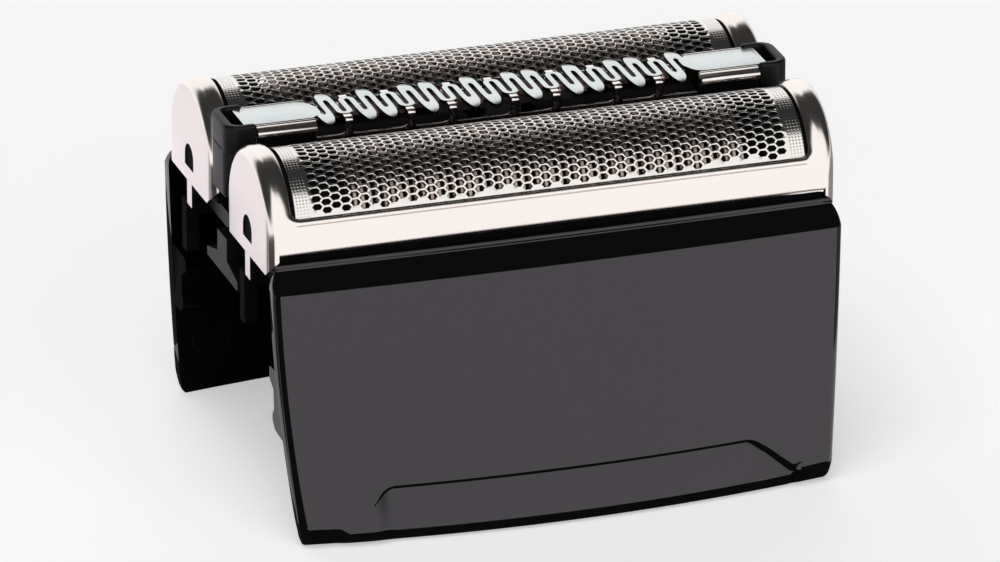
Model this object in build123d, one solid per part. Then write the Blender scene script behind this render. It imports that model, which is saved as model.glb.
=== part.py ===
"""Shaver foil head: two floating arched foils, a serpentine middle trimmer and two skirt covers.

Millimetres. X runs along the foils, the front is -Y, +Z is up. The head stands on the lower edges of
its covers, so z = 0 is the surface that it stands on.
"""
import os
from math import cos, radians, sin, tan

from build123d import *

# Heads: the two foil frames
crest_height = 31.2
foil_spacing = 16.2
frame_length = 48.2
frame_width = 11.6
frame_sheet = 0.4
frame_rim_radius = 0.9
frame_rim_steps = 2
frame_wall_drop = 7.6
frame_end_drop = 8.9
window_end_margin = 2.1
window_drop = 4.3
window_corner_radius = 1.2
notch_width = 2.6
notch_height = 2.4
notch_bridge = 0.6
tab_width = 1.3
tab_length = 2.1

# Foils: arched in narrow flats, with a row of long hexagonal holes on each flat of the crown
foil_end_gap = 0.4
foil_gauge = 0.15
foil_hem = 1.8
foil_flats = 9
hole_length = 3.7
hole_width = 1.35
hole_pitch = 5.4
hole_rows = 7
hole_end_margin = 2.0

# Foil carriers
carrier_block_length = 5.0
carrier_rail_width = 0.9
carrier_rail_drop = 6.9
carrier_base_drop = 9.0
carrier_foot_width = 1.8
carrier_foot_height = 0.5
leg_inset = 2.1
leg_thickness = 1.1
leg_length = 7.1
leg_width = 1.2
leg_ledge_drop = 2.6
leg_setback = 0.5
hook_depth = 1.2
hook_height = 1.1
lug_reach = 0.3

# Cutters
cutter_travel = 1.2
lamella_count = 8
lamella_margin = 2.0
lamella_thickness = 0.35
lamella_depth = 1.2
lamella_foot_drop = 6.7
lamella_facets = 7
holder_floor_drop = 8.4
socket_width = 4.4
socket_length = 6.0
socket_radius = 1.3
socket_depth = 4.5

# Chassis
deck_end_gap = 0.55
deck_side_inset = 1.0
deck_thickness = 1.4
deck_top_drop = 10.4
drive_window_margin = 0.9
gusset_thickness = 1.2
tongue_width = 2.6
tongue_inset = 0.3
gusset_post_length = 0.5
gusset_height = 2.0
spring_pip_radius = 0.75
spring_pip_height = 0.8

# Covers
cover_drop = 8.2
cover_shoulder = 1.8
cover_rim = 0.4
cover_waist_rise = 0.5
cover_overhang = 0.05
cover_top_taper = 0.15
cover_waist_taper = 0.55
cover_foot_narrowing = 1.45
cover_gap = 0.15
cover_shoulder_flare = 1.25
cover_waist_flare = 2.1
cover_foot_flare = 3.6
cover_top_bow = 0.35
cover_crease_bow = 0.5
cover_waist_bow = 1.2
cover_foot_bow = 1.9
cover_wall = 1.8
cover_lip = 0.45
cover_shoulder_wall = 1.7
cover_corner_radius = 0.8
cover_foot_radius = 1.2
cover_foot_taper = 0.5
cover_foot_steps = 3
recess_depth = 0.7
recess_height = 4.4
recess_margin = 1.7
recess_end_slope = 7.0
flange_inset = 1.5
catch_thickness = 1.2
catch_height = 5.6
catch_lowering = 2.4
catch_reach = 4.6
catch_inset = 0.5

# Middle trimmer
trimmer_overhang = 0.2
trimmer_side_gap = 0.15
trimmer_drop = 0.25
cap_length = 3.2
cap_corner_radius = 0.9
cap_crown_flare = 0.35
cap_crown_height = 2.6
cap_pocket_length = 1.3
trimmer_bar_inset = 0.25
trimmer_bar_floor_drop = 5.0
trimmer_bar_top_drop = 2.5
spring_seat_drop = 6.6
spring_seat_length = 5.4
comb_drop = 0.45
comb_thickness = 0.3
comb_inset = 0.3
comb_end_length = 6.0
comb_corner = 0.5
ribbon_bends = 36
ribbon_width = 0.5
bend_inset = 0.18
bend_radius = 0.36
lobe_overhang = 1.63
lobe_root = 1.0
lobe_width = 1.05
clip_sheet = 0.25
clip_wall = 0.7
clip_width = 0.7
clip_lip = 0.45
blade_thickness = 0.3
blade_end_gap = 0.85
blade_spine_width = 1.5
blade_inset = 0.02
blade_teeth = 13
blade_tooth_width = 0.8
saddle_sheet = 0.3
rail_width = 0.9
rail_height = 1.1
rail_chamfer = 0.3
shoe_bar_length = 12.0
shoe_bar_height = 0.75
shoe_stem_length = 3.0
shoe_stem_width = 1.6
shoe_stem_reach = 2.4
blade_travel = 1.0
guide_leg_length = 1.4
guide_leg_width = 2.4
guide_leg_inset = 0.75

# Springs
coil_radius = 1.15
coil_wire = 0.36
coil_turns = 3.0
coil_facets = 10
coil_inset = 3.9
leaf_width = 2.2
leaf_thickness = 0.25
leaf_inset = 2.8
leaf_reach = 1.2
leaf_pocket_depth = 3.2

# Clearances
seat_gap = 0.03
blade_gap = 0.08
slide_gap = 0.05
guide_gap = 0.2
travel_gap = 0.3

# Worked-out heights and places
frame_radius = frame_width / 2
spring_line = crest_height - frame_radius
frame_end = frame_length / 2
frame_end_floor = crest_height - frame_end_drop
frame_wall_floor = crest_height - frame_wall_drop
window_floor = crest_height - window_drop
window_length = frame_length - 2 * window_end_margin
foil_length = window_length - 2 * foil_end_gap
foil_radius = frame_radius - frame_sheet - seat_gap
carrier_end = frame_end - frame_sheet - slide_gap
carrier_floor = crest_height - carrier_base_drop
carrier_rail_top = crest_height - carrier_rail_drop
leaf_top = carrier_floor + leaf_pocket_depth
carrier_block_end = frame_end - frame_rim_radius
carrier_block_start = carrier_block_end - carrier_block_length
pad_width = frame_width - 2 * leg_inset
leaf_place = carrier_block_end - leaf_inset
cutter_length = 2 * (carrier_block_start - cutter_travel - travel_gap)
lamella_pitch = (cutter_length - 2 * lamella_margin) / (lamella_count - 1)
flat_angle = 180 / foil_flats
foil_inside = (foil_radius - foil_gauge) * cos(radians(flat_angle / 2))
carrier_radius = foil_inside - seat_gap
cutter_radius = foil_inside - blade_gap
holder_radius = (cutter_radius - lamella_depth) * cos(radians(90 / lamella_facets)) - slide_gap
deck_top = crest_height - deck_top_drop
deck_floor = deck_top - deck_thickness
deck_length = 2 * (carrier_end - leg_thickness - deck_end_gap)
heads_reach = foil_spacing / 2 + frame_radius
deck_depth = 2 * (heads_reach - deck_side_inset)
drive_window_length = cutter_length + 2 * drive_window_margin
drive_window_width = pad_width
tongue_end = frame_end - tongue_inset
gusset_width = foil_spacing - pad_width - 2 * guide_gap
cover_height = crest_height - cover_drop
cover_crease_height = cover_height - cover_shoulder
cover_waist_height = cover_crease_height * cover_waist_rise
cover_crease_half_width = frame_end + cover_overhang
cover_top_half_width = cover_crease_half_width - cover_top_taper
cover_waist_half_width = cover_crease_half_width - cover_waist_taper
cover_foot_half_width = cover_crease_half_width - cover_foot_narrowing
cover_top_reach = heads_reach + cover_gap + cover_lip
cover_crease_reach = cover_top_reach + cover_shoulder_flare
cover_waist_reach = cover_top_reach + cover_waist_flare
cover_foot_reach = cover_top_reach + cover_foot_flare
recess_foot_length = 2 * (cover_foot_half_width - recess_margin)
recess_top_length = recess_foot_length - 2 * recess_end_slope
flange_length = deck_length - 2 * flange_inset
catch_floor = cover_waist_height - catch_lowering
trimmer_length = frame_length + 2 * trimmer_overhang
trimmer_width = foil_spacing - frame_width - 2 * trimmer_side_gap
trimmer_bar_width = trimmer_width - 2 * trimmer_bar_inset
cap_crown_width = trimmer_width + 2 * cap_crown_flare
comb_width = trimmer_width - 2 * comb_inset
bend_reach = comb_width / 2 - bend_inset
lobe_reach = bend_reach + lobe_overhang
blade_width = 2 * (bend_reach - blade_inset)
coil_place = trimmer_length / 2 - coil_inset
trimmer_top = crest_height - trimmer_drop
comb_top = crest_height - comb_drop
comb_floor = comb_top - comb_thickness
comb_end = trimmer_length / 2 - cap_length + cap_pocket_length - slide_gap
comb_plate_start = comb_end - comb_end_length
ribbon_pitch = 2 * comb_plate_start / (ribbon_bends + 1)
bend_line = bend_reach - bend_radius
blade_length = 2 * (comb_plate_start - blade_travel - blade_end_gap)
guide_leg_place = comb_plate_start - guide_leg_inset
shoe_floor_height = deck_floor - shoe_stem_reach
blade_top = comb_floor - slide_gap
blade_floor = blade_top - blade_thickness
bar_floor = crest_height - trimmer_bar_floor_drop
bar_top = crest_height - trimmer_bar_top_drop
spring_seat = crest_height - spring_seat_drop
beyond = 2 * crest_height


def block(x, y, z):
    """Box from three (low, high) pairs."""
    size = [high - low for low, high in (x, y, z)]
    centre = [(high + low) / 2 for low, high in (x, y, z)]
    return Pos(*centre) * Box(*size)


def both_ends(solid):
    """A piece of one end and its mirror image at the other end."""
    return solid + mirror(solid, Plane.YZ)


def arch(radius, floor):
    """Section across a head: a round crown on straight sides that end at the height floor."""
    outline = ThreePointArc((-radius, spring_line), (0, spring_line + radius), (radius, spring_line))
    outline += Polyline((radius, spring_line), (radius, floor), (-radius, floor), (-radius, spring_line))
    return Plane.YZ * make_face(outline)


def flat_arch(radius, floor, flats):
    """Like arch, with a crown of equal flats between points on the same circle."""
    turns = [radians(180 * step / flats) for step in range(flats + 1)]
    crown = [(radius * cos(turn), spring_line + radius * sin(turn)) for turn in turns]
    return [(radius, floor)] + crown + [(-radius, floor)]


def rounded_arch(radius, floor, end, rim, steps):
    """Arched block from -end to end whose end edges are rounded in flat steps, down to its floor."""
    sections = []
    for step in range(steps + 1):
        turn = radians(90 * step / steps)
        section = arch(radius - rim * (1 - sin(turn)), floor)
        sections.append(Pos(end - rim * (1 - cos(turn))) * section)
    sections += [mirror(section, Plane.YZ) for section in reversed(sections)]
    return loft(sections, ruled=True)


def make_foil_frame():
    """Drawn steel shell, open below, with a long window over the crown and a notch in each end."""
    frame = rounded_arch(frame_radius, frame_end_floor, frame_end, frame_rim_radius, frame_rim_steps)
    open_floor = frame_end_floor - frame_rim_radius
    inner_rim = frame_rim_radius - frame_sheet
    frame -= rounded_arch(frame_radius - frame_sheet, open_floor, frame_end - frame_sheet, inner_rim, 1)
    wall_run = frame_end - frame_rim_radius
    frame -= block((-wall_run, wall_run), (-beyond, beyond), (0, frame_wall_floor))
    window_height = 2 * (crest_height - window_floor)
    window = RectangleRounded(window_length, window_height, window_corner_radius)
    frame -= extrude(Plane.XZ * Pos(0, crest_height) * window, beyond, both=True)
    notch_floor = frame_end_floor + notch_bridge
    notch = Rectangle(notch_width, notch_height, align=(Align.CENTER, Align.MIN))
    notch += Pos(0, notch_height) * Circle(notch_width / 2)
    frame -= extrude(Plane.YZ * Pos(0, notch_floor) * notch, beyond, both=True)
    tab_x = (frame_end - frame_sheet, frame_end)
    tab_z = (frame_end_floor - tab_length, frame_end_floor)
    tab = block(tab_x, (-tab_width / 2, tab_width / 2), tab_z)
    return frame + both_ends(tab)


def make_foil():
    """Thin arched sheet with rows of hexagonal holes, staggered from row to row."""
    floor = window_floor - foil_hem
    outside = make_face(Polyline(*flat_arch(foil_radius, floor, foil_flats), close=True))
    hollow = flat_arch(foil_radius - foil_gauge, floor - foil_gauge, foil_flats)
    inside = make_face(Polyline(*hollow, close=True))
    foil = extrude(Plane.YZ * (outside - inside), foil_length / 2, both=True)
    half = hole_length / 2
    side = half - hole_width / 2 * tan(radians(30))
    edge = hole_width / 2
    outline = [(half, 0), (side, edge), (-side, edge), (-half, 0), (-side, -edge), (side, -edge)]
    punch = extrude(make_face(Polyline(*outline, close=True)), beyond)
    count = int((foil_length - 2 * hole_end_margin - hole_length) / hole_pitch) + 1
    punches = []
    for row in range(hole_rows):
        tilt = (row - (hole_rows - 1) / 2) * flat_angle
        holes = count - row % 2
        for column in range(holes):
            x = (column - (holes - 1) / 2) * hole_pitch
            punches.append(Pos(x, 0, spring_line) * Rot(X=tilt) * punch)
    return foil - punches


def make_foil_carrier():
    """Moulded end blocks, side rails that clamp the foil, a hooked leg and a lug in the notch at each end."""
    block_length = carrier_block_end - carrier_block_start
    end = Pos(carrier_block_start) * extrude(arch(carrier_radius, carrier_floor), block_length)
    leaf_room = leaf_width / 2 + travel_gap
    pocket_x = (leaf_place - leaf_reach - travel_gap, leaf_place + leaf_reach + travel_gap)
    end -= block(pocket_x, (-leaf_room, leaf_room), (0, leaf_top + seat_gap))
    leg_start = carrier_end - leg_thickness
    end += block((leg_start, carrier_end), (-pad_width / 2, pad_width / 2), (carrier_floor, spring_line))
    leg_y = (pad_width / 2 - leg_width, pad_width / 2)
    leg_ledge = carrier_floor - leg_ledge_drop
    end += block((leg_start, carrier_end - leg_setback), leg_y, (leg_ledge, carrier_floor))
    end += block((leg_start, carrier_end), leg_y, (carrier_floor - leg_length, leg_ledge))
    hook_top = deck_floor - slide_gap
    end += block((leg_start - hook_depth, carrier_end), leg_y, (hook_top - hook_height, hook_top))
    lug = Rectangle(notch_width - 2 * guide_gap, notch_height, align=(Align.CENTER, Align.MIN))
    lug_floor = frame_end_floor + notch_bridge + guide_gap
    end += Pos(carrier_end) * extrude(Plane.YZ * Pos(0, lug_floor) * lug, lug_reach)
    rail_run = (-carrier_block_start, carrier_block_start)
    rail_y = (carrier_radius - carrier_rail_width, carrier_radius)
    rail = block(rail_run, rail_y, (carrier_floor, carrier_rail_top))
    foot_y = (carrier_radius - carrier_rail_width - carrier_foot_width, carrier_radius)
    rail += block(rail_run, foot_y, (carrier_floor, carrier_floor + carrier_foot_height))
    return both_ends(end) + rail + mirror(rail, Plane.XZ)


def make_cutter_blades():
    """Row of arched lamellas, each blanked with a many-sided rim."""
    foot = crest_height - lamella_foot_drop
    outside = flat_arch(cutter_radius, foot, lamella_facets)
    inside = flat_arch(cutter_radius - lamella_depth, foot, lamella_facets)
    face = Plane.YZ * make_face(Polyline(*outside, *reversed(inside), close=True))
    lamella = extrude(face, lamella_thickness / 2, both=True)
    places = [(number - (lamella_count - 1) / 2) * lamella_pitch for number in range(lamella_count)]
    return [Pos(x) * lamella for x in places]


def make_cutter_holder():
    """Arched bar that the lamellas sit on, with a drive socket open from below."""
    floor = crest_height - holder_floor_drop
    bar = extrude(arch(holder_radius, floor), cutter_length / 2, both=True)
    half = socket_width / 2
    boss = block((-half, half), (-half, half), (floor - socket_length, floor))
    upright = boss.edges().filter_by(Axis.Z)
    boss = chamfer(upright, socket_radius / 2)
    socket_floor = floor - socket_length
    socket = Pos(0, 0, socket_floor) * extrude(Circle(socket_radius), socket_depth)
    return bar + boss - socket


def make_chassis():
    """Deck with drive windows, slots for the trimmer, spring pips, and a gusseted tongue at each end."""
    half_x = deck_length / 2
    half_y = deck_depth / 2
    tongue_y = tongue_width / 2
    chassis = block((-half_x, half_x), (-half_y, half_y), (deck_floor, deck_top))
    chassis += block((-tongue_end, tongue_end), (-tongue_y, tongue_y), (deck_floor, deck_top))
    for side in (-1, 1):
        centre = side * foil_spacing / 2
        window_x = (-drive_window_length / 2, drive_window_length / 2)
        window_y = (centre - drive_window_width / 2, centre + drive_window_width / 2)
        chassis -= block(window_x, window_y, (0, crest_height))
    chassis -= shoe_room(travel_gap)
    leg_x = guide_leg_length / 2 + guide_gap
    leg_y = guide_leg_width / 2 + guide_gap
    leg_slot_x = (guide_leg_place - leg_x, guide_leg_place + leg_x)
    chassis -= both_ends(block(leg_slot_x, (-leg_y, leg_y), (0, crest_height)))
    pip = extrude(RegularPolygon(spring_pip_radius, 8), spring_pip_height)
    chassis += both_ends(Pos(coil_place, 0, deck_top) * pip)
    shoulder = deck_floor - gusset_post_length
    foot = deck_floor - gusset_height
    wide = gusset_width / 2
    mid = (shoulder + foot) / 2
    outline = [(tongue_y, deck_floor), (tongue_y, shoulder), (wide, mid), (wide, foot)]
    outline += [(-y, z) for y, z in reversed(outline)]
    gusset = extrude(Plane.YZ * make_face(Polyline(*outline, close=True)), gusset_thickness)
    return chassis + both_ends(Pos(tongue_end - gusset_thickness) * gusset)


def cover_section(height, half_width, reach, bow, wall):
    """Plan section of a front cover: a bowed strip, reach away from the middle at its ends."""
    corner = min(cover_corner_radius, wall / 2.5)
    front = ThreePointArc((-half_width, -reach), (0, -reach - bow), (half_width, -reach))
    back = ThreePointArc((half_width, wall - reach), (0, wall - reach - bow), (-half_width, wall - reach))
    sides = Line(front @ 1, back @ 0) + Line(back @ 1, front @ 0)
    strip = make_face(front + back + sides)
    outer = strip.vertices().sort_by(Axis.Y)[:2]
    return Pos(0, 0, height) * fillet(outer, corner)


def make_cover_skin():
    """Ruled skin through the plan sections of a front cover, rounded at the foot."""
    levels = []
    for step in range(cover_foot_steps):
        turn = radians(90 * step / cover_foot_steps)
        draw_in = cover_foot_radius * (1 - sin(turn))
        height = cover_foot_radius * (1 - cos(turn))
        half = cover_foot_half_width - cover_foot_taper * (1 - sin(turn))
        levels.append((height, half, cover_foot_reach - draw_in, cover_foot_bow, cover_wall - draw_in))
    levels += [
        (cover_foot_radius, cover_foot_half_width, cover_foot_reach, cover_foot_bow, cover_wall),
        (cover_waist_height, cover_waist_half_width, cover_waist_reach, cover_waist_bow, cover_wall),
    ]
    crease = (cover_crease_half_width, cover_crease_reach, cover_crease_bow, cover_shoulder_wall)
    top = (cover_top_half_width, cover_top_reach, cover_top_bow, cover_lip)
    levels.append((cover_crease_height, *crease))
    levels.append((cover_height - cover_rim, *top))
    levels.append((cover_height, *top))
    return loft([cover_section(*level) for level in levels], ruled=True)


def make_scoop():
    """What the finger recess takes off a front cover: deepest at its top edge, running out at the foot."""
    rise = (recess_height - cover_foot_radius) / (cover_waist_height - cover_foot_radius)
    half = cover_foot_half_width + rise * (cover_waist_half_width - cover_foot_half_width)
    reach = cover_foot_reach + rise * (cover_waist_reach - cover_foot_reach)
    bow = cover_foot_bow + rise * (cover_waist_bow - cover_foot_bow)
    foot = (cover_foot_radius, cover_foot_half_width, cover_foot_reach, cover_foot_bow, cover_wall)
    top = (recess_height, half, reach - recess_depth, bow, cover_wall)
    floor = loft([cover_section(*foot), cover_section(*top)], ruled=True)
    top_x = recess_top_length / 2
    foot_x = recess_foot_length / 2
    outline = [(-foot_x, cover_foot_radius), (foot_x, cover_foot_radius)]
    outline += [(top_x, recess_height), (-top_x, recess_height)]
    inner = (reach - cover_wall) / 2
    prism = extrude(Plane.XZ * Pos(0, 0, inner) * make_face(Polyline(*outline, close=True)), beyond)
    return prism - floor - block((-beyond, beyond), (cover_wall - reach, 0), (0, beyond))


def make_front_cover():
    """Bowed, flared skirt with a finger recess at its lower edge, a flange to the deck and two catches."""
    cover = make_cover_skin()
    cover -= make_scoop()
    flange_y = (-cover_top_reach + cover_lip / 2, -deck_depth / 2)
    cover += block((-flange_length / 2, flange_length / 2), flange_y, (deck_floor, deck_top))
    root = cover_waist_reach - cover_wall / 2
    tip = root - catch_reach
    step = catch_height / 5
    profile = [
        (root, catch_floor),
        (tip + step, catch_floor + step),
        (tip + 2 * step, catch_floor + 2 * step),
        (tip + 2 * step, catch_floor + 3 * step),
        (tip, catch_floor + 4 * step),
        (root, catch_floor + catch_height),
    ]
    face = Plane.YZ * make_face(Polyline(*[(-y, z) for y, z in profile], close=True))
    catch_x = cover_waist_half_width - catch_inset - catch_thickness
    return cover + both_ends(Pos(catch_x) * extrude(face, catch_thickness))


def shoe_room(gap):
    """Slot that the drive shoe's stem slides in, with a gap at both its sides."""
    stem_x = shoe_stem_length / 2 + blade_travel + travel_gap
    stem_y = shoe_stem_width / 2 + gap
    return block((-stem_x, stem_x), (-stem_y, stem_y), (0, crest_height))


def cap_plan(width):
    """Plan of the trimmer's right-hand end cap, with its outer corners rounded."""
    plan = Pos(trimmer_length / 2 - cap_length / 2) * Rectangle(cap_length, width)
    return fillet(plan.vertices().group_by(Axis.X)[-1], cap_corner_radius)


def make_trimmer_body():
    """Moulded bar with rounded end caps, spring seats and hooked guide legs."""
    half_x = trimmer_length / 2
    bar_y = trimmer_bar_width / 2
    cap_start = half_x - cap_length
    crown_floor = trimmer_top - cap_crown_height
    cap = Pos(0, 0, spring_seat) * extrude(cap_plan(trimmer_width), crown_floor - spring_seat)
    cap += Pos(0, 0, crown_floor) * extrude(cap_plan(cap_crown_width), cap_crown_height)
    pocket_y = comb_width / 2 + slide_gap
    pocket_x = (cap_start, cap_start + cap_pocket_length)
    cap -= block(pocket_x, (-pocket_y, pocket_y), (comb_floor, beyond))
    seat_x = (half_x - spring_seat_length, half_x - cap_corner_radius)
    cap += block(seat_x, (-bar_y, bar_y), (spring_seat, bar_top))
    guide_x = (guide_leg_place - guide_leg_length / 2, guide_leg_place + guide_leg_length / 2)
    guide_y = (-guide_leg_width / 2, guide_leg_width / 2)
    hook_top = deck_floor - slide_gap
    hook_floor = hook_top - hook_height
    cap += block(guide_x, guide_y, (hook_floor, bar_top))
    cap += block((guide_x[0], guide_x[1] + guide_gap + hook_height / 2), guide_y, (hook_floor, hook_top))
    body = both_ends(cap) + block((-cap_start, cap_start), (-bar_y, bar_y), (bar_floor, bar_top))
    return body - shoe_room(guide_gap)


def ribbon_bend_places():
    """Each bend of the comb's ribbon from the left: its x, its side (-1 in front), whether it is a lobe."""
    front_lobes = (True, False, True, True, False)
    rear_lobes = (True, False, True, False, True)
    places = []
    for bend in range(ribbon_bends):
        x = (bend + 1) * ribbon_pitch - comb_plate_start
        side = 1 if bend % 2 else -1
        lobes = rear_lobes if bend % 2 else front_lobes
        places.append((x, side, lobes[bend // 2 % len(lobes)]))
    return places


def make_trimmer_comb():
    """Flat guard plate: a serpentine ribbon of long lobes and small bends between two plain end plates."""
    half = lobe_width / 2
    middle = (lobe_root + lobe_reach) / 2
    outline = [(half, middle), (half / 2, lobe_reach), (-half / 2, lobe_reach), (-half, middle)]
    outline += [(-half / 2, lobe_root), (half / 2, lobe_root)]
    lobe = make_face(Polyline(*outline, close=True))
    bend = Pos(0, bend_line) * RegularPolygon(bend_radius, 6)
    shapes = []
    route = [(-comb_plate_start - ribbon_width, 0)]
    for x, side, is_lobe in ribbon_bend_places():
        shape = lobe if is_lobe else bend
        shapes.append(Pos(x) * (shape if side > 0 else mirror(shape, Plane.XZ)))
        route.append((x, side * bend_line))
    route.append((comb_plate_start + ribbon_width, 0))
    for here, there in zip(route, route[1:]):
        shapes += trace(Line(here, there), ribbon_width).faces()
    plate = Pos(comb_plate_start + comb_end_length / 2) * Rectangle(comb_end_length, comb_width)
    plate = chamfer(plate.vertices().group_by(Axis.X)[-1], comb_corner)
    shapes += [plate, mirror(plate, Plane.YZ)]
    ribbon = Sketch() + shapes
    return Pos(0, 0, comb_floor) * extrude(ribbon, comb_thickness)


def make_trimmer_clips():
    """Folded channel under the comb, with a hook over each small bend."""
    inner = bend_reach + slide_gap
    outer = inner + clip_sheet
    run = (slide_gap - comb_plate_start, comb_plate_start - slide_gap)
    channel = block(run, (-outer, outer), (bar_top, bar_top + clip_wall))
    channel -= block(run, (-inner, inner), (bar_top + clip_sheet, beyond))
    lip_floor = comb_top + slide_gap
    lip_top = lip_floor + clip_sheet
    lip = inner - clip_lip
    outline = [(inner, bar_top), (outer, bar_top), (outer, lip_top)]
    outline += [(lip, lip_top), (lip, lip_floor), (inner, lip_floor)]
    hook = extrude(Plane.YZ * make_face(Polyline(*outline, close=True)), clip_width / 2, both=True)
    for x, side, is_lobe in ribbon_bend_places():
        if not is_lobe:
            channel += Pos(x) * (hook if side > 0 else mirror(hook, Plane.XZ))
    return channel - shoe_room(guide_gap)


def make_trimmer_blade():
    """Sliding strip with a row of tapered teeth on both sides."""
    blade = Rectangle(blade_length, blade_spine_width)
    pitch = blade_length / blade_teeth
    root = blade_tooth_width / 2
    tip = root / 2
    reach = blade_width / 2
    tooth = make_face(Polyline((-root, 0), (root, 0), (tip, reach), (-tip, reach), close=True))
    for number in range(blade_teeth):
        x = (number - (blade_teeth - 1) / 2) * pitch
        blade += [Pos(x) * tooth, Pos(x) * mirror(tooth, Plane.XZ)]
    return Pos(0, 0, blade_floor) * extrude(blade, blade_thickness)


def make_trimmer_saddle():
    """Folded channel beside the right-hand end plate, with a rolled rail along each long side."""
    inner = comb_width / 2 + slide_gap
    rail_middle = comb_top - rail_height / 2
    wall_height = rail_middle - bar_top
    rail = chamfer(Rectangle(rail_width, rail_height).vertices(), rail_chamfer)
    section = Pos(inner + rail_width / 2, rail_middle) * rail
    section += Pos(inner + saddle_sheet / 2, bar_top + wall_height / 2) * Rectangle(saddle_sheet, wall_height)
    section += mirror(section, Plane.YZ)
    section += Pos(0, bar_top + saddle_sheet / 2) * Rectangle(2 * (inner + saddle_sheet), saddle_sheet)
    length = trimmer_length / 2 - cap_length - slide_gap - comb_plate_start
    return Pos(comb_plate_start) * extrude(Plane.YZ * section, length)


def make_trimmer_drive_shoe():
    """Bar under the trimmer blade with a stem that reaches down through the deck."""
    half = shoe_bar_length / 2
    half_y = blade_spine_width / 2
    shoe = block((-half, half), (-half_y, half_y), (blade_floor - shoe_bar_height, blade_floor))
    stem = shoe_stem_length / 2
    stem_y = shoe_stem_width / 2
    return shoe + block((-stem, stem), (-stem_y, stem_y), (shoe_floor_height, blade_floor))


def make_coil_spring():
    """Square-wire coil between the deck and the trimmer's spring seat, with its ends cut flat."""
    height = spring_seat - deck_top
    rise = height + coil_wire
    steps = int(coil_turns * coil_facets)
    path = []
    for step in range(steps + 1):
        turn = radians(360 * step / coil_facets)
        path.append((coil_radius * cos(turn), coil_radius * sin(turn), rise * step / steps - coil_wire / 2))
    line = Polyline(*path)
    section = Plane(origin=line @ 0, z_dir=line % 0) * Rectangle(coil_wire, coil_wire)
    coil = sweep(section, line, transition=Transition.RIGHT)
    room = 2 * coil_radius
    coil &= block((-room, room), (-room, room), (seat_gap, height - seat_gap))
    return Pos(coil_place, 0, deck_top) * coil


def make_leaf_spring():
    """Folded leaf between the deck and the pocket in a carrier's end block."""
    half = leaf_thickness / 2
    low = deck_top + seat_gap + half
    high = leaf_top - half
    near = leaf_place - leaf_reach + half
    far = leaf_place + leaf_reach - half
    mid = (low + high) / 2
    points = [(near, low), (far, low), (near, mid), (far, high), (near, high)]
    limbs = [trace(Line(a, b), leaf_thickness) for a, b in zip(points, points[1:])]
    strip = Sketch() + limbs
    return extrude(Plane.XZ * strip, leaf_width / 2, both=True)


front = Pos(0, -foil_spacing / 2)
rear = Pos(0, foil_spacing / 2)
foil_frame = make_foil_frame()
foil = make_foil()
foil_carrier = make_foil_carrier()
cutter_blades = make_cutter_blades()
cutter_holder = make_cutter_holder()
leaf_spring = make_leaf_spring()
front_cover = make_front_cover()
saddle = make_trimmer_saddle()
coil_spring = make_coil_spring()

pieces = {
    "chassis": make_chassis(),
    "front_cover": front_cover,
    "rear_cover": mirror(front_cover, Plane.XZ),
    "trimmer_body": make_trimmer_body(),
    "trimmer_comb": make_trimmer_comb(),
    "trimmer_clips": make_trimmer_clips(),
    "trimmer_blade": make_trimmer_blade(),
    "trimmer_drive_shoe": make_trimmer_drive_shoe(),
    "trimmer_left_saddle": mirror(saddle, Plane.YZ),
    "trimmer_right_saddle": saddle,
    "trimmer_left_spring": mirror(coil_spring, Plane.YZ),
    "trimmer_right_spring": coil_spring,
}
for side, place in (("front", front), ("rear", rear)):
    pieces[f"{side}_foil_frame"] = place * foil_frame
    pieces[f"{side}_foil"] = place * foil
    pieces[f"{side}_foil_carrier"] = place * foil_carrier
    pieces[f"{side}_cutter_blades"] = Compound([place * lamella for lamella in cutter_blades])
    pieces[f"{side}_cutter_holder"] = place * cutter_holder
    pieces[f"{side}_left_leaf_spring"] = place * mirror(leaf_spring, Plane.YZ)
    pieces[f"{side}_right_leaf_spring"] = place * leaf_spring

os.makedirs("parts", exist_ok=True)
for name, piece in pieces.items():
    export_step(piece, f"parts/{name}.step")
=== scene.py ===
"""Shaver foil head: the visible pieces of a clip-on dual-foil cassette, built over its CAD frame.

X runs along the foils, the front is -Y and +Z is up. Flat outlines are laid out in millimetres and become
metres when a mesh is made from them.
"""

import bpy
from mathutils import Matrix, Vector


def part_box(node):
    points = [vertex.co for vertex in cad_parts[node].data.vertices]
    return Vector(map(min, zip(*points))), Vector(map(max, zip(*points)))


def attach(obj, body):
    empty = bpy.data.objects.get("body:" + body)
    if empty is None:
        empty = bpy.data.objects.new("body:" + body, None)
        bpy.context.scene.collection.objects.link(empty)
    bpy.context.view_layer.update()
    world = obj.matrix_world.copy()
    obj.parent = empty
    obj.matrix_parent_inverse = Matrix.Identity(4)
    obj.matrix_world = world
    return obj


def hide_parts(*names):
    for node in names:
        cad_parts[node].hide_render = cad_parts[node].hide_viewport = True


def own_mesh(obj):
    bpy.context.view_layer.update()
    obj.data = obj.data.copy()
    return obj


bl_info = {
    "name": "Shaver Foil Head",
    "version": (1, 0, 0),
    "blender": (4, 5, 0),
    "location": "View3D > Sidebar > Foil Head",
    "description": "Builds the foils, frames, trimmer, covers and springs of a shaver foil head",
    "category": "Add Mesh",
}

from math import asin, cos, exp, hypot, pi, radians, sin

import bmesh
import bpy
from bpy.props import FloatProperty, FloatVectorProperty, IntProperty, PointerProperty
from mathutils import Vector
from mathutils.geometry import delaunay_2d_cdt

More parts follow.
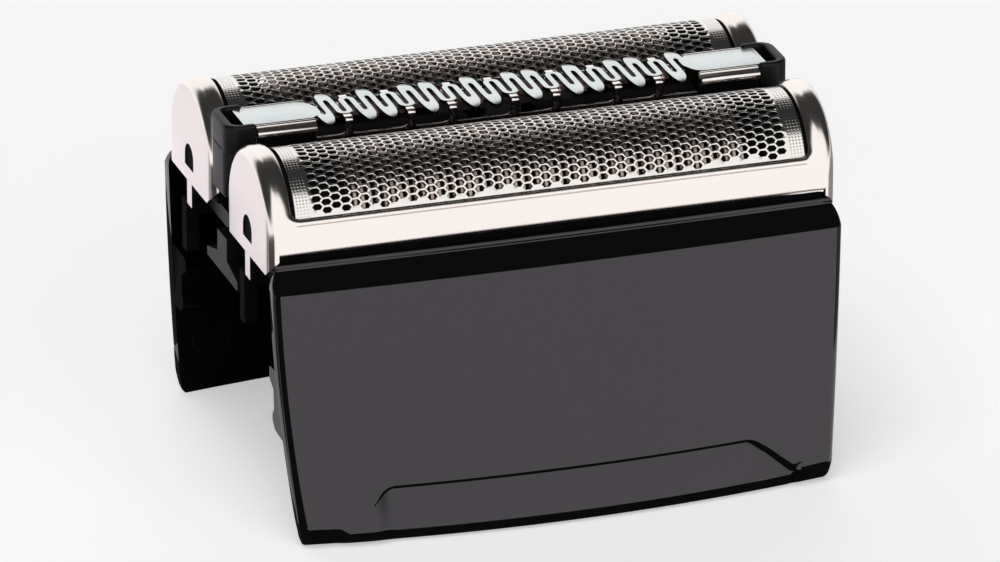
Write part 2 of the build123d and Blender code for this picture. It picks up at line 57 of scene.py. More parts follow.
MM = 0.001
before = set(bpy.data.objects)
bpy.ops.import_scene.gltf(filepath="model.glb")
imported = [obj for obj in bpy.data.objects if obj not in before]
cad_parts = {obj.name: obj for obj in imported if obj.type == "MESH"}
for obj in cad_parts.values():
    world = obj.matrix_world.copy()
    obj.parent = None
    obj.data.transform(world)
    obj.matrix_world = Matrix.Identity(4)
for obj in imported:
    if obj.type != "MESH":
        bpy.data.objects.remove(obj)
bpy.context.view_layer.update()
COMB_LOW, COMB_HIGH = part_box("trimmer_comb")
BODY_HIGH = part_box("trimmer_body")[1]
HEADS = {"front": -1, "rear": 1}

# Frames, in millimetres: drops below the crest, the window's corners, the notch, the tab and the wall's edge
FRAME_WALL_DROP = 7.6
FRAME_END_DROP = 8.9
FRAME_HEM = 0.9
WINDOW_CORNER = 0.7
NOTCH_WIDTH = 2.4
NOTCH_FOOT = 1.2
NOTCH_TOP = 3.3
TAB_WIDTH = 1.3
TAB_LENGTH = 2.1
EDGE_CURL = 0.85
EDGE_TURN = 1.9
WINDOW_CLEAR = 0.02

# Rolled window edge: where its groove and crown end, as shares of its width, and its depths in millimetres
GROOVE_END = 0.14
CROWN_END = 0.8
GROOVE_DEPTH = 0.03
CROWN_FALL = 0.38
RIM_FALL = 0.55
ROLL_OVERLAP = 0.05
ROLL_BACK = 0.34
SKIRT_SIDE = 0.4
SKIRT_END = 0.6

# Foils: rounding of the webs, the rise and sway of the rows of holes, and the dimpled bands at the ends
WEB_ROUNDING = 0.022
DRIFT_RISE = 0.4
DRIFT_PLACE = -12
DRIFT_SPAN = 2
DRIFT_LEVEL = -0.28
SWAY = 0.05
SWAY_LENGTH = 3.3
DIMPLES_START = 20.3
DIMPLE_PITCH = 0.27

# Cutters: depth of a lamella, and the width and height of its ground edge
LAMELLA_DEPTH = 1.0
LAMELLA_GROUND = (0.06, 0.07)

# Comb: its bends, strands, leaves, slots, edges with the tilt below which faces get painted shade, and end
# plates
BENDS = 36
BEND_OUTSIDE = 0.9
BEND_INSIDE = 0.47
BEND_SQUARENESS = 0.7
STRAND_HALF = 0.9
LOBE_ROOT = 0.88
LOBE_WIDEST = 1.55
TIP_START = 1.9
TIP_FALL = 0.08
SLOT_OVERLAP = 0.02
SLOT_RISE = 0.1
SLOT_END = 0.5
COMB_ROUND = 0.045
COMB_SHADE_TILT = 0.5
PLATE_WIDTH = 3.7
PLATE_LENGTH = 6.0

# Clips: the strip, how far it stands out and bends, and the wall of the channel below
CLIP_WIDTH = 0.68
CLIP_SHEET = 0.2
CLIP_OUT = 2.5
CLIP_BEND = 0.28
CLIP_ROOT = 1.9
CLIP_TIP = 1.85
CLIP_CORNER = 0.07
CLIP_BELOW_COMB = 0.05
CLIP_HIGHLIGHT_TILT = 0.35
CHANNEL_SIDE = 1.855
CHANNEL_SHEET = 0.19
CHANNEL_HEIGHT = 0.34
CHANNEL_SWING = 0.2
CHANNEL_REACH = 0.9

# Rails: their end, their drawn-in start, the faces of their wall, and the thin roll above the thick one
RAIL_END = 21.45
RAIL_INSETS = ((0.0, 0.16), (0.05, 0.06), (0.16, 0.0))
RAIL_WALL = (1.9, 2.15)
RAIL_EDGE = 0.12
RAIL_THIN = 0.18
RAIL_THICK = 0.4
RAIL_THICK_OUT = 2.4
RAIL_THICK_DROP = 0.68
SADDLE_HALF = 2.1
SADDLE_SHEET = 0.3

# Trimmer body: the caps, the bar with its fins, the spring seats and the hooked guide legs
CAP_START = 21.5
CAP_INSIDE = 1.88
CAP_SHORT = 0.2
CAP_LOW = 28.4
CAP_FLOOR_HEIGHTS = (28.0, 29.5)
CAP_FLOOR_INSET = 0.5
CAP_FOOT_LOW = 24.6
CAP_FOOT_TOP = 29.0
CAP_FOOT_INSET = 0.35
CAP_ROUND = 0.24
BAR_END = 21.4
BAR_SIDES = (1.0, 1.9)
BAR_HEIGHTS = (26.2, 28.7)
BAR_FLOOR_HALF = 1.2
BAR_FLOOR_TOP = 28.65
BAR_ROUND = 0.15
DRIVE_GAP = 2.9
FIN_START = 16.4
FIN_SIDES = (2.16, 2.3)
FIN_TOP = 29.7
SEAT_RUN = (18.9, 23.3)
LEG_RUN = (14.9, 16.3)
LEG_HEIGHTS = (18.25, 28.6)
BARB_END = 17.05
BARB_TOP = 19.35

# Covers at the heights of the foot, the waist and the crease: half-length, reach, bow and inner reach
COVER_LEVELS = (1.2, 10.5, 21.42)
COVER_HALVES = (22.7, 23.6, 24.15)
COVER_REACHES = (18.1, 16.6, 15.75)
COVER_BOWS = (1.9, 1.2, 0.5)
COVER_INSIDES = (16.3, 14.8, 14.05)

# Covers: the shoulder with what it takes off those four, the lip's steps, the corners and the ends
COVER_SHOULDER_TOP = 22.95
CREASE_ROUND = 0.06
SHOULDER_CUTS = (0.5, 1.58, 0.15, 0.08)
LIP_STEPS = ((0.1, 0.0), (0.16, 0.14), (0.2, 0.15), (0.3, 0.15), (0.36, 0.17), (0.4, 0.24))
COVER_CORNER = 0.8
COVER_RUN = 23.4
END_DRAW = 0.35
INNER_SHORT = 0.05

# Finger recess: its edge, step and ends, and the foot below it
RECESS_STEP = 0.6
RECESS_STEP_MOST = 1.1
RECESS_STEP_GROWTH = 0.6
RECESS_STEP_CLEAR = 0.1
RECESS_LEVEL = 15.9
RECESS_CURVE = 2.2
RECESS_BEND = 0.175
RECESS_RIGHT = 21.0
RECESS_RIGHT_FADE = 0.6
RECESS_LEFT = 18.1
RECESS_LEFT_FADE = 2.4
FOOT_ROUND = 2.1
FOOT_CLEAR = 0.3
FOOT_NARROW = 0.85
FOOT_WIDEN = 0.4
FOOT_FADE = 0.9
FOOT_DRAW = 1.5
FOOT_SINK = 0.55

# Inside the covers: the catches, the flange to the deck and the ejector rings
CATCH_RUN = (21.9, 23.45)
FLANGE_HALF = 19.9
FLANGE_REACH = (12.9, 14.3)
FLANGE_LOW = 19.4
RING_X = 20
RING_Z = 4.7
RING_RADIUS = 1.6
RING_WIRE = (0.09, 0.05)

# Springs: the deck's top, the coils' turns and flat ends, the leaves' strip, and what is left when pressed
DECK_TOP = 20.8
COIL_TURNS = 4.5
COIL_FLAT = 0.12
LEAF_SHEET = 0.25
LEAF_BEND = 0.35
LEAF_CORNER = 0.1

# Inner mouldings and trimmer blade: rounding of their edges
MOULDING_ROUND = 0.12
BLADE_ROUND = 0.03

# Stage: the camera in degrees and millimetres, the dark strip of the sky, the lamp and the floor
CAMERA_AZIMUTH = -18.236
CAMERA_ELEVATION = 22.447
CAMERA_DISTANCE = 917.8
CAMERA_TARGET = (-1.987, -5.891, 16.151)
CAMERA_LENS = 405.99
STRIP_SLOPE = 1.9
STRIP_TAPER = 0.85
STRIP_SOFTNESS = 0.6
STRIP_EDGES = (-0.06, 0.1)
STRIP_LEVEL = 0.03
SIDE_START = 0.5
SIDE_SHADE = 0.45
LAMP_POWER = 5.0
LAMP_SIZE = 900
LAMP_PLACE = (-350, -350, 1200)
FLOOR_HALF = 4000
FLOOR_LIFT = 0.43


def srgb(text):
    """Linear colour of an sRGB hex value."""
    channels = [int(text[i:i + 2], 16) / 255 for i in (1, 3, 5)]
    return [c / 12.92 if c <= 0.04045 else ((c + 0.055) / 1.055) ** 2.4 for c in channels]


def length(name, description, millimetres):
    """A length property whose default is given in millimetres."""
    default = millimetres * MM
    return FloatProperty(name=name, description=description, default=default, unit="LENGTH", precision=5)


def colour(name, description, text):
    """A colour property whose default is an sRGB hex value."""
    default = srgb(text)
    return FloatVectorProperty(name=name, description=description, default=default, subtype="COLOR", size=3)


class FoilHeadSizes(bpy.types.PropertyGroup):
    """Sizes of the foil head's pieces."""

    rim_radius: length("Rim radius", "Rounding between a frame's wall and its end face", 0.9)
    frame_sheet: length("Frame sheet", "Thickness of the drawn frames", 0.4)
    window_half: length("Window half-length", "Middle of a frame to the end of its window", 21.9)
    window_drop: length("Window drop", "Crest of a frame down to the lower edge of its window", 4.3)
    bead_width: length("Bead width", "Width of the rolled edge along a window", 0.48)
    bead_height: length("Bead height", "How far the rolled edge stands above the wall", 0.065)
    foil_gauge: length("Foil gauge", "Thickness of the perforated foils", 0.055)
    hole_columns: IntProperty(name="Hole columns", description="Columns of holes along a foil", default=50)
    hole_rows: IntProperty(name="Hole rows", description="Rows of holes over a foil", default=22)
    hole_pitch: length("Hole pitch", "Distance between two columns of holes", 0.804)
    row_pitch: length("Row pitch", "Distance between two holes of one column", 0.66)
    web: length("Web", "Width of the metal between two holes", 0.14)
    lamella_pitch: length("Lamella pitch", "Distance between two cutter lamellas", 0.643)
    lamella_width: length("Lamella width", "Thickness of a cutter lamella", 0.36)
    ribbon_width: length("Ribbon width", "Width of the comb's serpentine ribbon", 0.45)
    lobe_width: length("Lobe width", "Widest part of the comb's long lobes", 1.28)
    lobe_reach: length("Lobe reach", "Middle of the trimmer to the tips of the long lobes", 3.3)
    cap_wall: length("Cap wall", "Wall of the trimmer's end caps", 0.8)
    recess_depth: length("Recess depth", "Depth of the finger recess at its upper edge", 0.85)
    recess_height: length("Recess height", "Upper edge of the finger recess above the foot", 5.0)
    coil_wire: length("Coil wire", "Wire of the coil springs", 0.36)


class FoilHeadColours(bpy.types.PropertyGroup):
    """Colours of the foil head's materials."""

    gloss_plastic: colour("Gloss plastic", "Covers", "#0a080a")
    satin_plastic: colour("Satin plastic", "Trimmer body, legs and deck", "#0d0c0d")
    inner_plastic: colour("Inner plastic", "Cutter holders and drive shoe", "#2e2e30")
    drawn_steel: colour("Drawn steel", "Frames and rails", "#fbf3ee")
    foil_nickel: colour("Foil nickel", "Perforated foils", "#f2eee9")
    comb_steel: colour("Comb steel", "Trimmer comb", "#dfe5e5")
    clip_steel: colour("Clip steel", "Clips that hold the comb", "#5f5958")
    # A dark steel on the comb's side faces: painted shade
    cut_edge: colour("Cut edge", "Painted shade on the comb's sides", "#3d3939")
    lamella_steel: colour("Lamella steel", "Cutter lamellas and trimmer blade", "#b39f96")
    # A darker nickel on the holes' walls: painted shade inside the holes
    hole_wall: colour("Hole wall", "Painted shade on the walls of the foils' holes", "#5a5250")
    bronze: colour("Bronze", "Springs", "#b8834f")
    floor: colour("Floor", "Studio floor", "#f4f4f4")


def sizes():
    """The size properties of this scene."""
    return bpy.context.scene.foil_head_sizes


def colours():
    """The colour properties of this scene, as the four channels that a shader takes."""
    group = bpy.context.scene.foil_head_colours
    return {name: (*getattr(group, name), 1.0) for name in FoilHeadColours.__annotations__}


def set_inputs(target, tree, values):
    """Gives a node's sockets their values, or links what feeds them."""
    for name, value in values.items():
        if isinstance(value, bpy.types.NodeSocket):
            tree.links.new(value, target.inputs[name])
        else:
            target.inputs[name].default_value = value


def node(tree, kind, inputs=None, **settings):
    """Adds a node. settings are its attributes, and inputs its sockets' values or what feeds them."""
    new = tree.nodes.new(kind)
    for name, value in settings.items():
        setattr(new, name, value)
    set_inputs(new, tree, inputs or {})
    return new


def new_material(name):
    """A material's node tree with its Principled shader."""
    material = bpy.data.materials.new(name)
    material.use_nodes = True
    tree = material.node_tree
    return material, tree, tree.nodes["Principled BSDF"]


def gloss_abs():
    """ABS moulded in a polished tool: a deep black that only shows what it reflects, softened in places."""
    material, tree, shader = new_material("Gloss black ABS")
    place = node(tree, "ShaderNodeTexCoord").outputs["Object"]
    # The polish varies in patches of about 7 mm
    patches = node(tree, "ShaderNodeTexNoise", {"Vector": place, "Scale": 1 / (7 * MM), "Detail": 3.0})
    limits = {"To Min": 0.03, "To Max": 0.07}
    gloss = node(tree, "ShaderNodeMapRange", {"Value": patches.outputs["Fac"], **limits})
    base = colours()["gloss_plastic"]
    # The black has a faint violet cast where it mirrors white
    cast = {"Specular IOR Level": 0.59, "Specular Tint": (*srgb("#fff8ff"), 1.0)}
    set_inputs(shader, tree, {"Base Color": base, "Roughness": gloss.outputs["Result"], "IOR": 1.6, **cast})
    return material


def satin_plastic(name, base, roughness, sheen):
    """Glass-filled nylon from an eroded tool: dark, with a fine sparkling grain and soft highlights."""
    material, tree, shader = new_material(name)
    place = node(tree, "ShaderNodeTexCoord").outputs["Object"]
    # The eroded grain is about 0.03 mm in reality, and is drawn at 0.14 mm so that it shows
    grain = node(tree, "ShaderNodeTexNoise", {"Vector": place, "Scale": 1 / (0.14 * MM), "Detail": 2.0})
    light = [min(1.0, 1.8 * c) for c in base[:3]] + [1.0]
    mix = node(tree, "ShaderNodeMix", {"Factor": grain.outputs["Fac"], 6: base, 7: light}, data_type="RGBA")
    height = {"Height": grain.outputs["Fac"], "Strength": 0.3, "Distance": 0.05 * MM}
    bump = node(tree, "ShaderNodeBump", height)
    values = {"Base Color": mix.outputs[2], "Roughness": roughness, "IOR": 1.53, "Specular IOR Level": sheen}
    set_inputs(shader, tree, {**values, "Normal": bump.outputs["Normal"]})
    return material


def drawn_steel(name, base, roughness, line, strength):
    """Stainless sheet, drawn and polished: near mirror, with faint lines along the drawing direction."""
    material, tree, shader = new_material(name)
    place = node(tree, "ShaderNodeTexCoord").outputs["Object"]
    # The polishing lines are line mm apart and 40 times as long
    stretch = node(tree, "ShaderNodeMapping", {"Vector": place, "Scale": (1 / 40, 1, 1)}).outputs["Vector"]
    lines = node(tree, "ShaderNodeTexNoise", {"Vector": stretch, "Scale": 1 / (line * MM)}).outputs["Fac"]
    # Handling leaves patches of about 3 mm that are a little duller
    patches = node(tree, "ShaderNodeTexNoise", {"Vector": place, "Scale": 1 / (3 * MM), "Detail": 4.0})
    both = node(tree, "ShaderNodeMath", {0: lines, 1: patches.outputs["Fac"]}, operation="MULTIPLY")
    limits = {"From Max": 0.5, "To Min": 0.6 * roughness, "To Max": 1.6 * roughness}
    dull = node(tree, "ShaderNodeMapRange", {"Value": both.outputs["Value"], **limits})
    bump = node(tree, "ShaderNodeBump", {"Height": lines, "Strength": strength, "Distance": 0.02 * MM})
    values = {"Base Color": base, "Metallic": 1.0, "Roughness": dull.outputs["Result"]}
    set_inputs(shader, tree, {**values, "Normal": bump.outputs["Normal"]})
    return material


def foil_nickel():
    """Electroformed nickel: bright and even, with rows of tiny blind dimples on the plain bands, sunk by a
    bump and darkened with painted shade.
    """
    material, tree, shader = new_material("Electroformed nickel")
    flat = node(tree, "ShaderNodeUVMap", uv_map="flat").outputs["UV"]
    along = node(tree, "ShaderNodeSeparateXYZ", {"Vector": flat}).outputs["X"]
    away = node(tree, "ShaderNodeMath", {0: along}, operation="ABSOLUTE").outputs["Value"]
    inputs = {0: away, 1: DIMPLES_START}
    band = node(tree, "ShaderNodeMath", inputs, operation="GREATER_THAN").outputs["Value"]
    # The flat map is in millimetres, and so is the dimples' pitch
    inputs = {"Vector": flat, "Scale": 1 / DIMPLE_PITCH, "Randomness": 0.0}
    dots = node(tree, "ShaderNodeTexVoronoi", inputs, voronoi_dimensions="2D").outputs["Distance"]
    limits = {"From Min": 0.1, "From Max": 0.34, "To Min": 1.0, "To Max": 0.0}
    hit = node(tree, "ShaderNodeMapRange", {"Value": dots, **limits}).outputs["Result"]
    dotted = node(tree, "ShaderNodeMath", {0: hit, 1: band}, operation="MULTIPLY").outputs["Value"]
    base = colours()["foil_nickel"]
    # The dimples are darkened to this colour: painted shade inside them
    shade = [0.78 * c for c in base[:3]] + [1.0]
    mix = node(tree, "ShaderNodeMix", {"Factor": dotted, 6: base, 7: shade}, data_type="RGBA")
    sunk = {"Height": dotted, "Strength": 0.28, "Distance": 0.06 * MM}
    bump = node(tree, "ShaderNodeBump", sunk, invert=True)
    # The plating varies in patches of about 2 mm
    place = node(tree, "ShaderNodeTexCoord").outputs["Object"]
    patches = node(tree, "ShaderNodeTexNoise", {"Vector": place, "Scale": 1 / (2 * MM), "Detail": 3.0})
    limits = {"Value": patches.outputs["Fac"], "To Min": 0.1, "To Max": 0.2}
    dull = node(tree, "ShaderNodeMapRange", limits).outputs["Result"]
    values = {"Base Color": mix.outputs[2], "Metallic": 1.0, "Roughness": dull}
    set_inputs(shader, tree, {**values, "Normal": bump.outputs["Normal"]})
    return material


def bronze():
    """Phosphor bronze wire, drawn: warm, a little tarnished, with soft highlights."""
    material, tree, shader = new_material("Phosphor bronze")
    place = node(tree, "ShaderNodeTexCoord").outputs["Object"]
    # Tarnish comes in patches of about 0.5 mm
    patches = node(tree, "ShaderNodeTexNoise", {"Vector": place, "Scale": 1 / (0.5 * MM), "Detail": 4.0})
    base = colours()["bronze"]
    dark = [0.5 * c for c in base[:3]] + [1.0]
    mix = node(tree, "ShaderNodeMix", {"Factor": patches.outputs["Fac"], 6: base, 7: dark}, data_type="RGBA")
    set_inputs(shader, tree, {"Base Color": mix.outputs[2], "Metallic": 1.0, "Roughness": 0.3})
    return material


def material(name):
    """The named material, made the first time that it is asked for."""
    found = bpy.data.materials.get(name)
    if found:
        return found
    tint = colours()
    # Each plastic has its colour, roughness and strength of sheen
    plastics = {
        "Satin black nylon": ("satin_plastic", 0.42, 0.3),
        "Matt black nylon": ("satin_plastic", 0.85, 0.08),
        "Satin grey POM": ("inner_plastic", 0.5, 0.3),
    }
    # Each steel has its colour, roughness, spacing of polishing lines in mm and depth of those lines
    steels = {
        "Polished stainless": ("drawn_steel", 0.16, 0.1, 0.04),
        "Ground stainless": ("comb_steel", 0.24, 0.06, 0.08),
        "Hardened blade steel": ("lamella_steel", 0.3, 0.05, 0.1),
        "Tempered spring steel": ("clip_steel", 0.16, 0.08, 0.1),
        "Shaded comb side": ("cut_edge", 0.3, 0.05, 0.1),
        "Shaded hole nickel": ("hole_wall", 0.35, 0.05, 0.1),
    }
    if name in plastics:
        colour_name, *finish = plastics[name]
        return satin_plastic(name, tint[colour_name], *finish)
    if name in steels:
        colour_name, *finish = steels[name]
        return drawn_steel(name, tint[colour_name], *finish)
    makers = {"Gloss black ABS": gloss_abs, "Electroformed nickel": foil_nickel, "Phosphor bronze": bronze}
    return makers[name]()


def area(loop):
    """Signed area of a flat outline."""
    return sum(a[0] * b[1] - b[0] * a[1] for a, b in zip(loop, loop[1:] + loop[:1])) / 2


def flat_fill(outlines, holes=(), lines=(), points=()):
    """Points and triangles that fill flat outlines, without the holes, through the lines and points."""
    coords = []
    edges = []
    faces = []
    for loop in (*outlines, *holes):
        loop = list(loop) if area(loop) > 0 else list(reversed(loop))
        faces.append(list(range(len(coords), len(coords) + len(loop))))
        coords += loop
    for line in lines:
        edges += [(i, i + 1) for i in range(len(coords), len(coords) + len(line) - 1)]
        coords += line
    coords += points
    found = delaunay_2d_cdt([Vector(p) for p in coords], edges, faces, 1, 1e-5)
    count = len(outlines)
    triangles = []
    for triangle, inside in zip(found[2], found[5]):
        if inside and all(index < count for index in inside):
            triangles.append(triangle)
    return [tuple(p) for p in found[0]], triangles


def add_sheet(bm, flat, outside, inside=None):
    """Adds a filled outline to a mesh at the place outside(x, y), and its back at inside(x, y)."""
    coords, triangles = flat
    layer = bm.loops.layers.uv.get("flat") or bm.loops.layers.uv.new("flat")
    used = sorted({index for triangle in triangles for index in triangle})
    top = {index: bm.verts.new([MM * c for c in outside(*coords[index])]) for index in used}
    faces = [bm.faces.new([top[index] for index in triangle]) for triangle in triangles]
    corners = list(triangles)
    if inside:
        back = {index: bm.verts.new([MM * c for c in inside(*coords[index])]) for index in used}
        faces += [bm.faces.new([back[index] for index in reversed(triangle)]) for triangle in triangles]
        corners += [list(reversed(triangle)) for triangle in triangles]
        directed = set()
        for a, b, c in triangles:
            directed |= {(a, b), (b, c), (c, a)}
        for a, b in directed:
            if (b, a) not in directed:
                faces.append(bm.faces.new((top[b], top[a], back[a], back[b])))
                corners.append((b, a, a, b))
    for face, around in zip(faces, corners):
        for loop, index in zip(face.loops, around):
            loop[layer].uv = coords[index]


def add_grid(bm, rows, closed=False):
    """Adds quads between rows of points, and returns the rows of vertices."""
    made = [[bm.verts.new([MM * c for c in point]) for point in row] for row in rows]
    for low, high in zip(made, made[1:]):
        count = len(low) if closed else len(low) - 1
        for i in range(count):
            j = (i + 1) % len(low)
            bm.faces.new((low[i], low[j], high[j], high[i]))
    return made


def add_loft(bm, rows):
    """Adds a skin round rows of points, with a face over both ends."""
    made = add_grid(bm, rows, closed=True)
    bm.faces.new(list(reversed(made[0])))
    bm.faces.new(made[-1])


def add_tube(bm, path, section, closed=False):
    """Adds a tube along a path, given as (place, across, up) triples, with a closed flat section."""
    rows = []
    for place, across, up in path:
        rows.append([Vector(place) + Vector(across) * u + Vector(up) * v for u, v in section])
    if closed:
        add_grid(bm, rows + rows[:1], closed=True)
    else:
        add_loft(bm, rows)


def add_prism(bm, outline, place, depth):
    """Adds an extruded outline. place(u, v, w) gives a point's spot at the depth w."""
    loop = outline if area(outline) > 0 else list(reversed(outline))
    low = [bm.verts.new([MM * c for c in place(u, v, depth[0])]) for u, v in loop]
    high = [bm.verts.new([MM * c for c in place(u, v, depth[1])]) for u, v in loop]
    bm.faces.new(list(reversed(low)))
    bm.faces.new(high)
    for i in range(len(loop)):
        j = (i + 1) % len(loop)
        bm.faces.new((low[i], low[j], high[j], high[i]))


def add_block(bm, x, y, z):
    """Adds a block from three (low, high) pairs."""
    outline = [(x[0], y[0]), (x[1], y[0]), (x[1], y[1]), (x[0], y[1])]
    add_prism(bm, outline, lambda u, v, w: (u, v, w), z)


def rounded(corners, radii, steps=6):
    """Outline through corner points, each rounded with its own radius."""
    outline = []
    count = len(corners)
    for i, (corner, radius) in enumerate(zip(corners, radii)):
        here = Vector(corner)
        before = (Vector(corners[i - 1]) - here).normalized()
        after = (Vector(corners[(i + 1) % count]) - here).normalized()
        if radius <= 0:
            outline.append(tuple(here))
            continue
        half = before.angle(after) / 2
        middle = here + (before + after).normalized() * radius / sin(half)
        reach = radius * cos(half) / sin(half)
        start = here + before * reach - middle
        end = here + after * reach - middle
        turn = start.angle(end)
        for step in range(steps + 1):
            share = step / steps
            mixed = (start * sin((1 - share) * turn) + end * sin(share * turn)) / sin(turn)
            outline.append(tuple(middle + mixed))
    return outline


def rounded_box(width, height, radius, steps=5):
    """Rounded rectangle about the origin."""
    x = width / 2
    y = height / 2
    return rounded([(x, y), (-x, y), (-x, -y), (x, -y)], [radius] * 4, steps)


def span(end, low, high):
    """The stretch from low to high on one axis, turned over to its other side where end is negative."""
    return (low, high) if end > 0 else (-high, -low)


def mirrored(outline, sign):
    """An outline with its first axis turned over where sign is negative."""
    return [(sign * u, v) for u, v in outline]


def place_piece(bm, name, finish, body, nodes=(), angle=35):
    """Makes an object of a mesh, shades it smooth, gives it its material, and ties it to its body and CAD
    nodes.
    """
    bmesh.ops.recalc_face_normals(bm, faces=bm.faces[:])
    mesh = bpy.data.meshes.new(name)
    bm.to_mesh(mesh)
    bm.free()
    mesh.shade_smooth()
    mesh.set_sharp_from_angle(angle=radians(angle))
    piece = bpy.data.objects.new(name, mesh)
    bpy.context.scene.collection.objects.link(piece)
    mesh.materials.append(material(finish))
    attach(piece, body)
    if nodes:
        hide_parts(*nodes)
    return piece


def soften(piece, width, segments=2, angle=40):
    """Rounds a piece's sharp edges with a bevel, worked into its mesh."""
    bevel = piece.modifiers.new("Rounding", "BEVEL")
    bevel.width = width * MM
    bevel.segments = segments
    bevel.limit_method = "ANGLE"
    bevel.angle_limit = radians(angle)
    bevel.harden_normals = False
    settle(piece)
    piece.data.shade_smooth()
    piece.data.set_sharp_from_angle(angle=radians(angle))


def settle(piece):
    """Works a piece's modifiers into its mesh."""
    graph = bpy.context.evaluated_depsgraph_get()
    mesh = bpy.data.meshes.new_from_object(piece.evaluated_get(graph))
    old = piece.data
    piece.modifiers.clear()
    piece.data = mesh
    mesh.name = piece.name
    bpy.data.meshes.remove(old)


class Head:
    """Places on one of the two heads, in millimetres: y is counted from its middle."""

    def __init__(self, side):
        low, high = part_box(f"{side}_foil_frame")
        self.middle = (low.y + high.y) / 2 / MM
        self.radius = (high.y - low.y) / 2 / MM
        self.end = high.x / MM
        self.foot = low.z / MM
        self.spring_line = high.z / MM - self.radius

    def at(self, x, s, radius):
        """Point s along an arched section of that radius, counted from its front spring line."""
        turn = min(max(s / radius, 0), pi)
        z = self.spring_line + radius * sin(turn)
        if s < 0:
            z = self.spring_line + s
        if s > pi * radius:
            z = self.spring_line - (s - pi * radius)
        return x, self.middle - radius * cos(turn), z


def eased(share):
    """A share from 0 to 1 that starts and ends smoothly."""
    share = min(max(share, 0.0), 1.0)
    return share * share * (3 - 2 * share)


def spread(low, high, count):
    """Evenly spread numbers from low to high."""
    return [low + (high - low) * i / (count - 1) for i in range(count)]


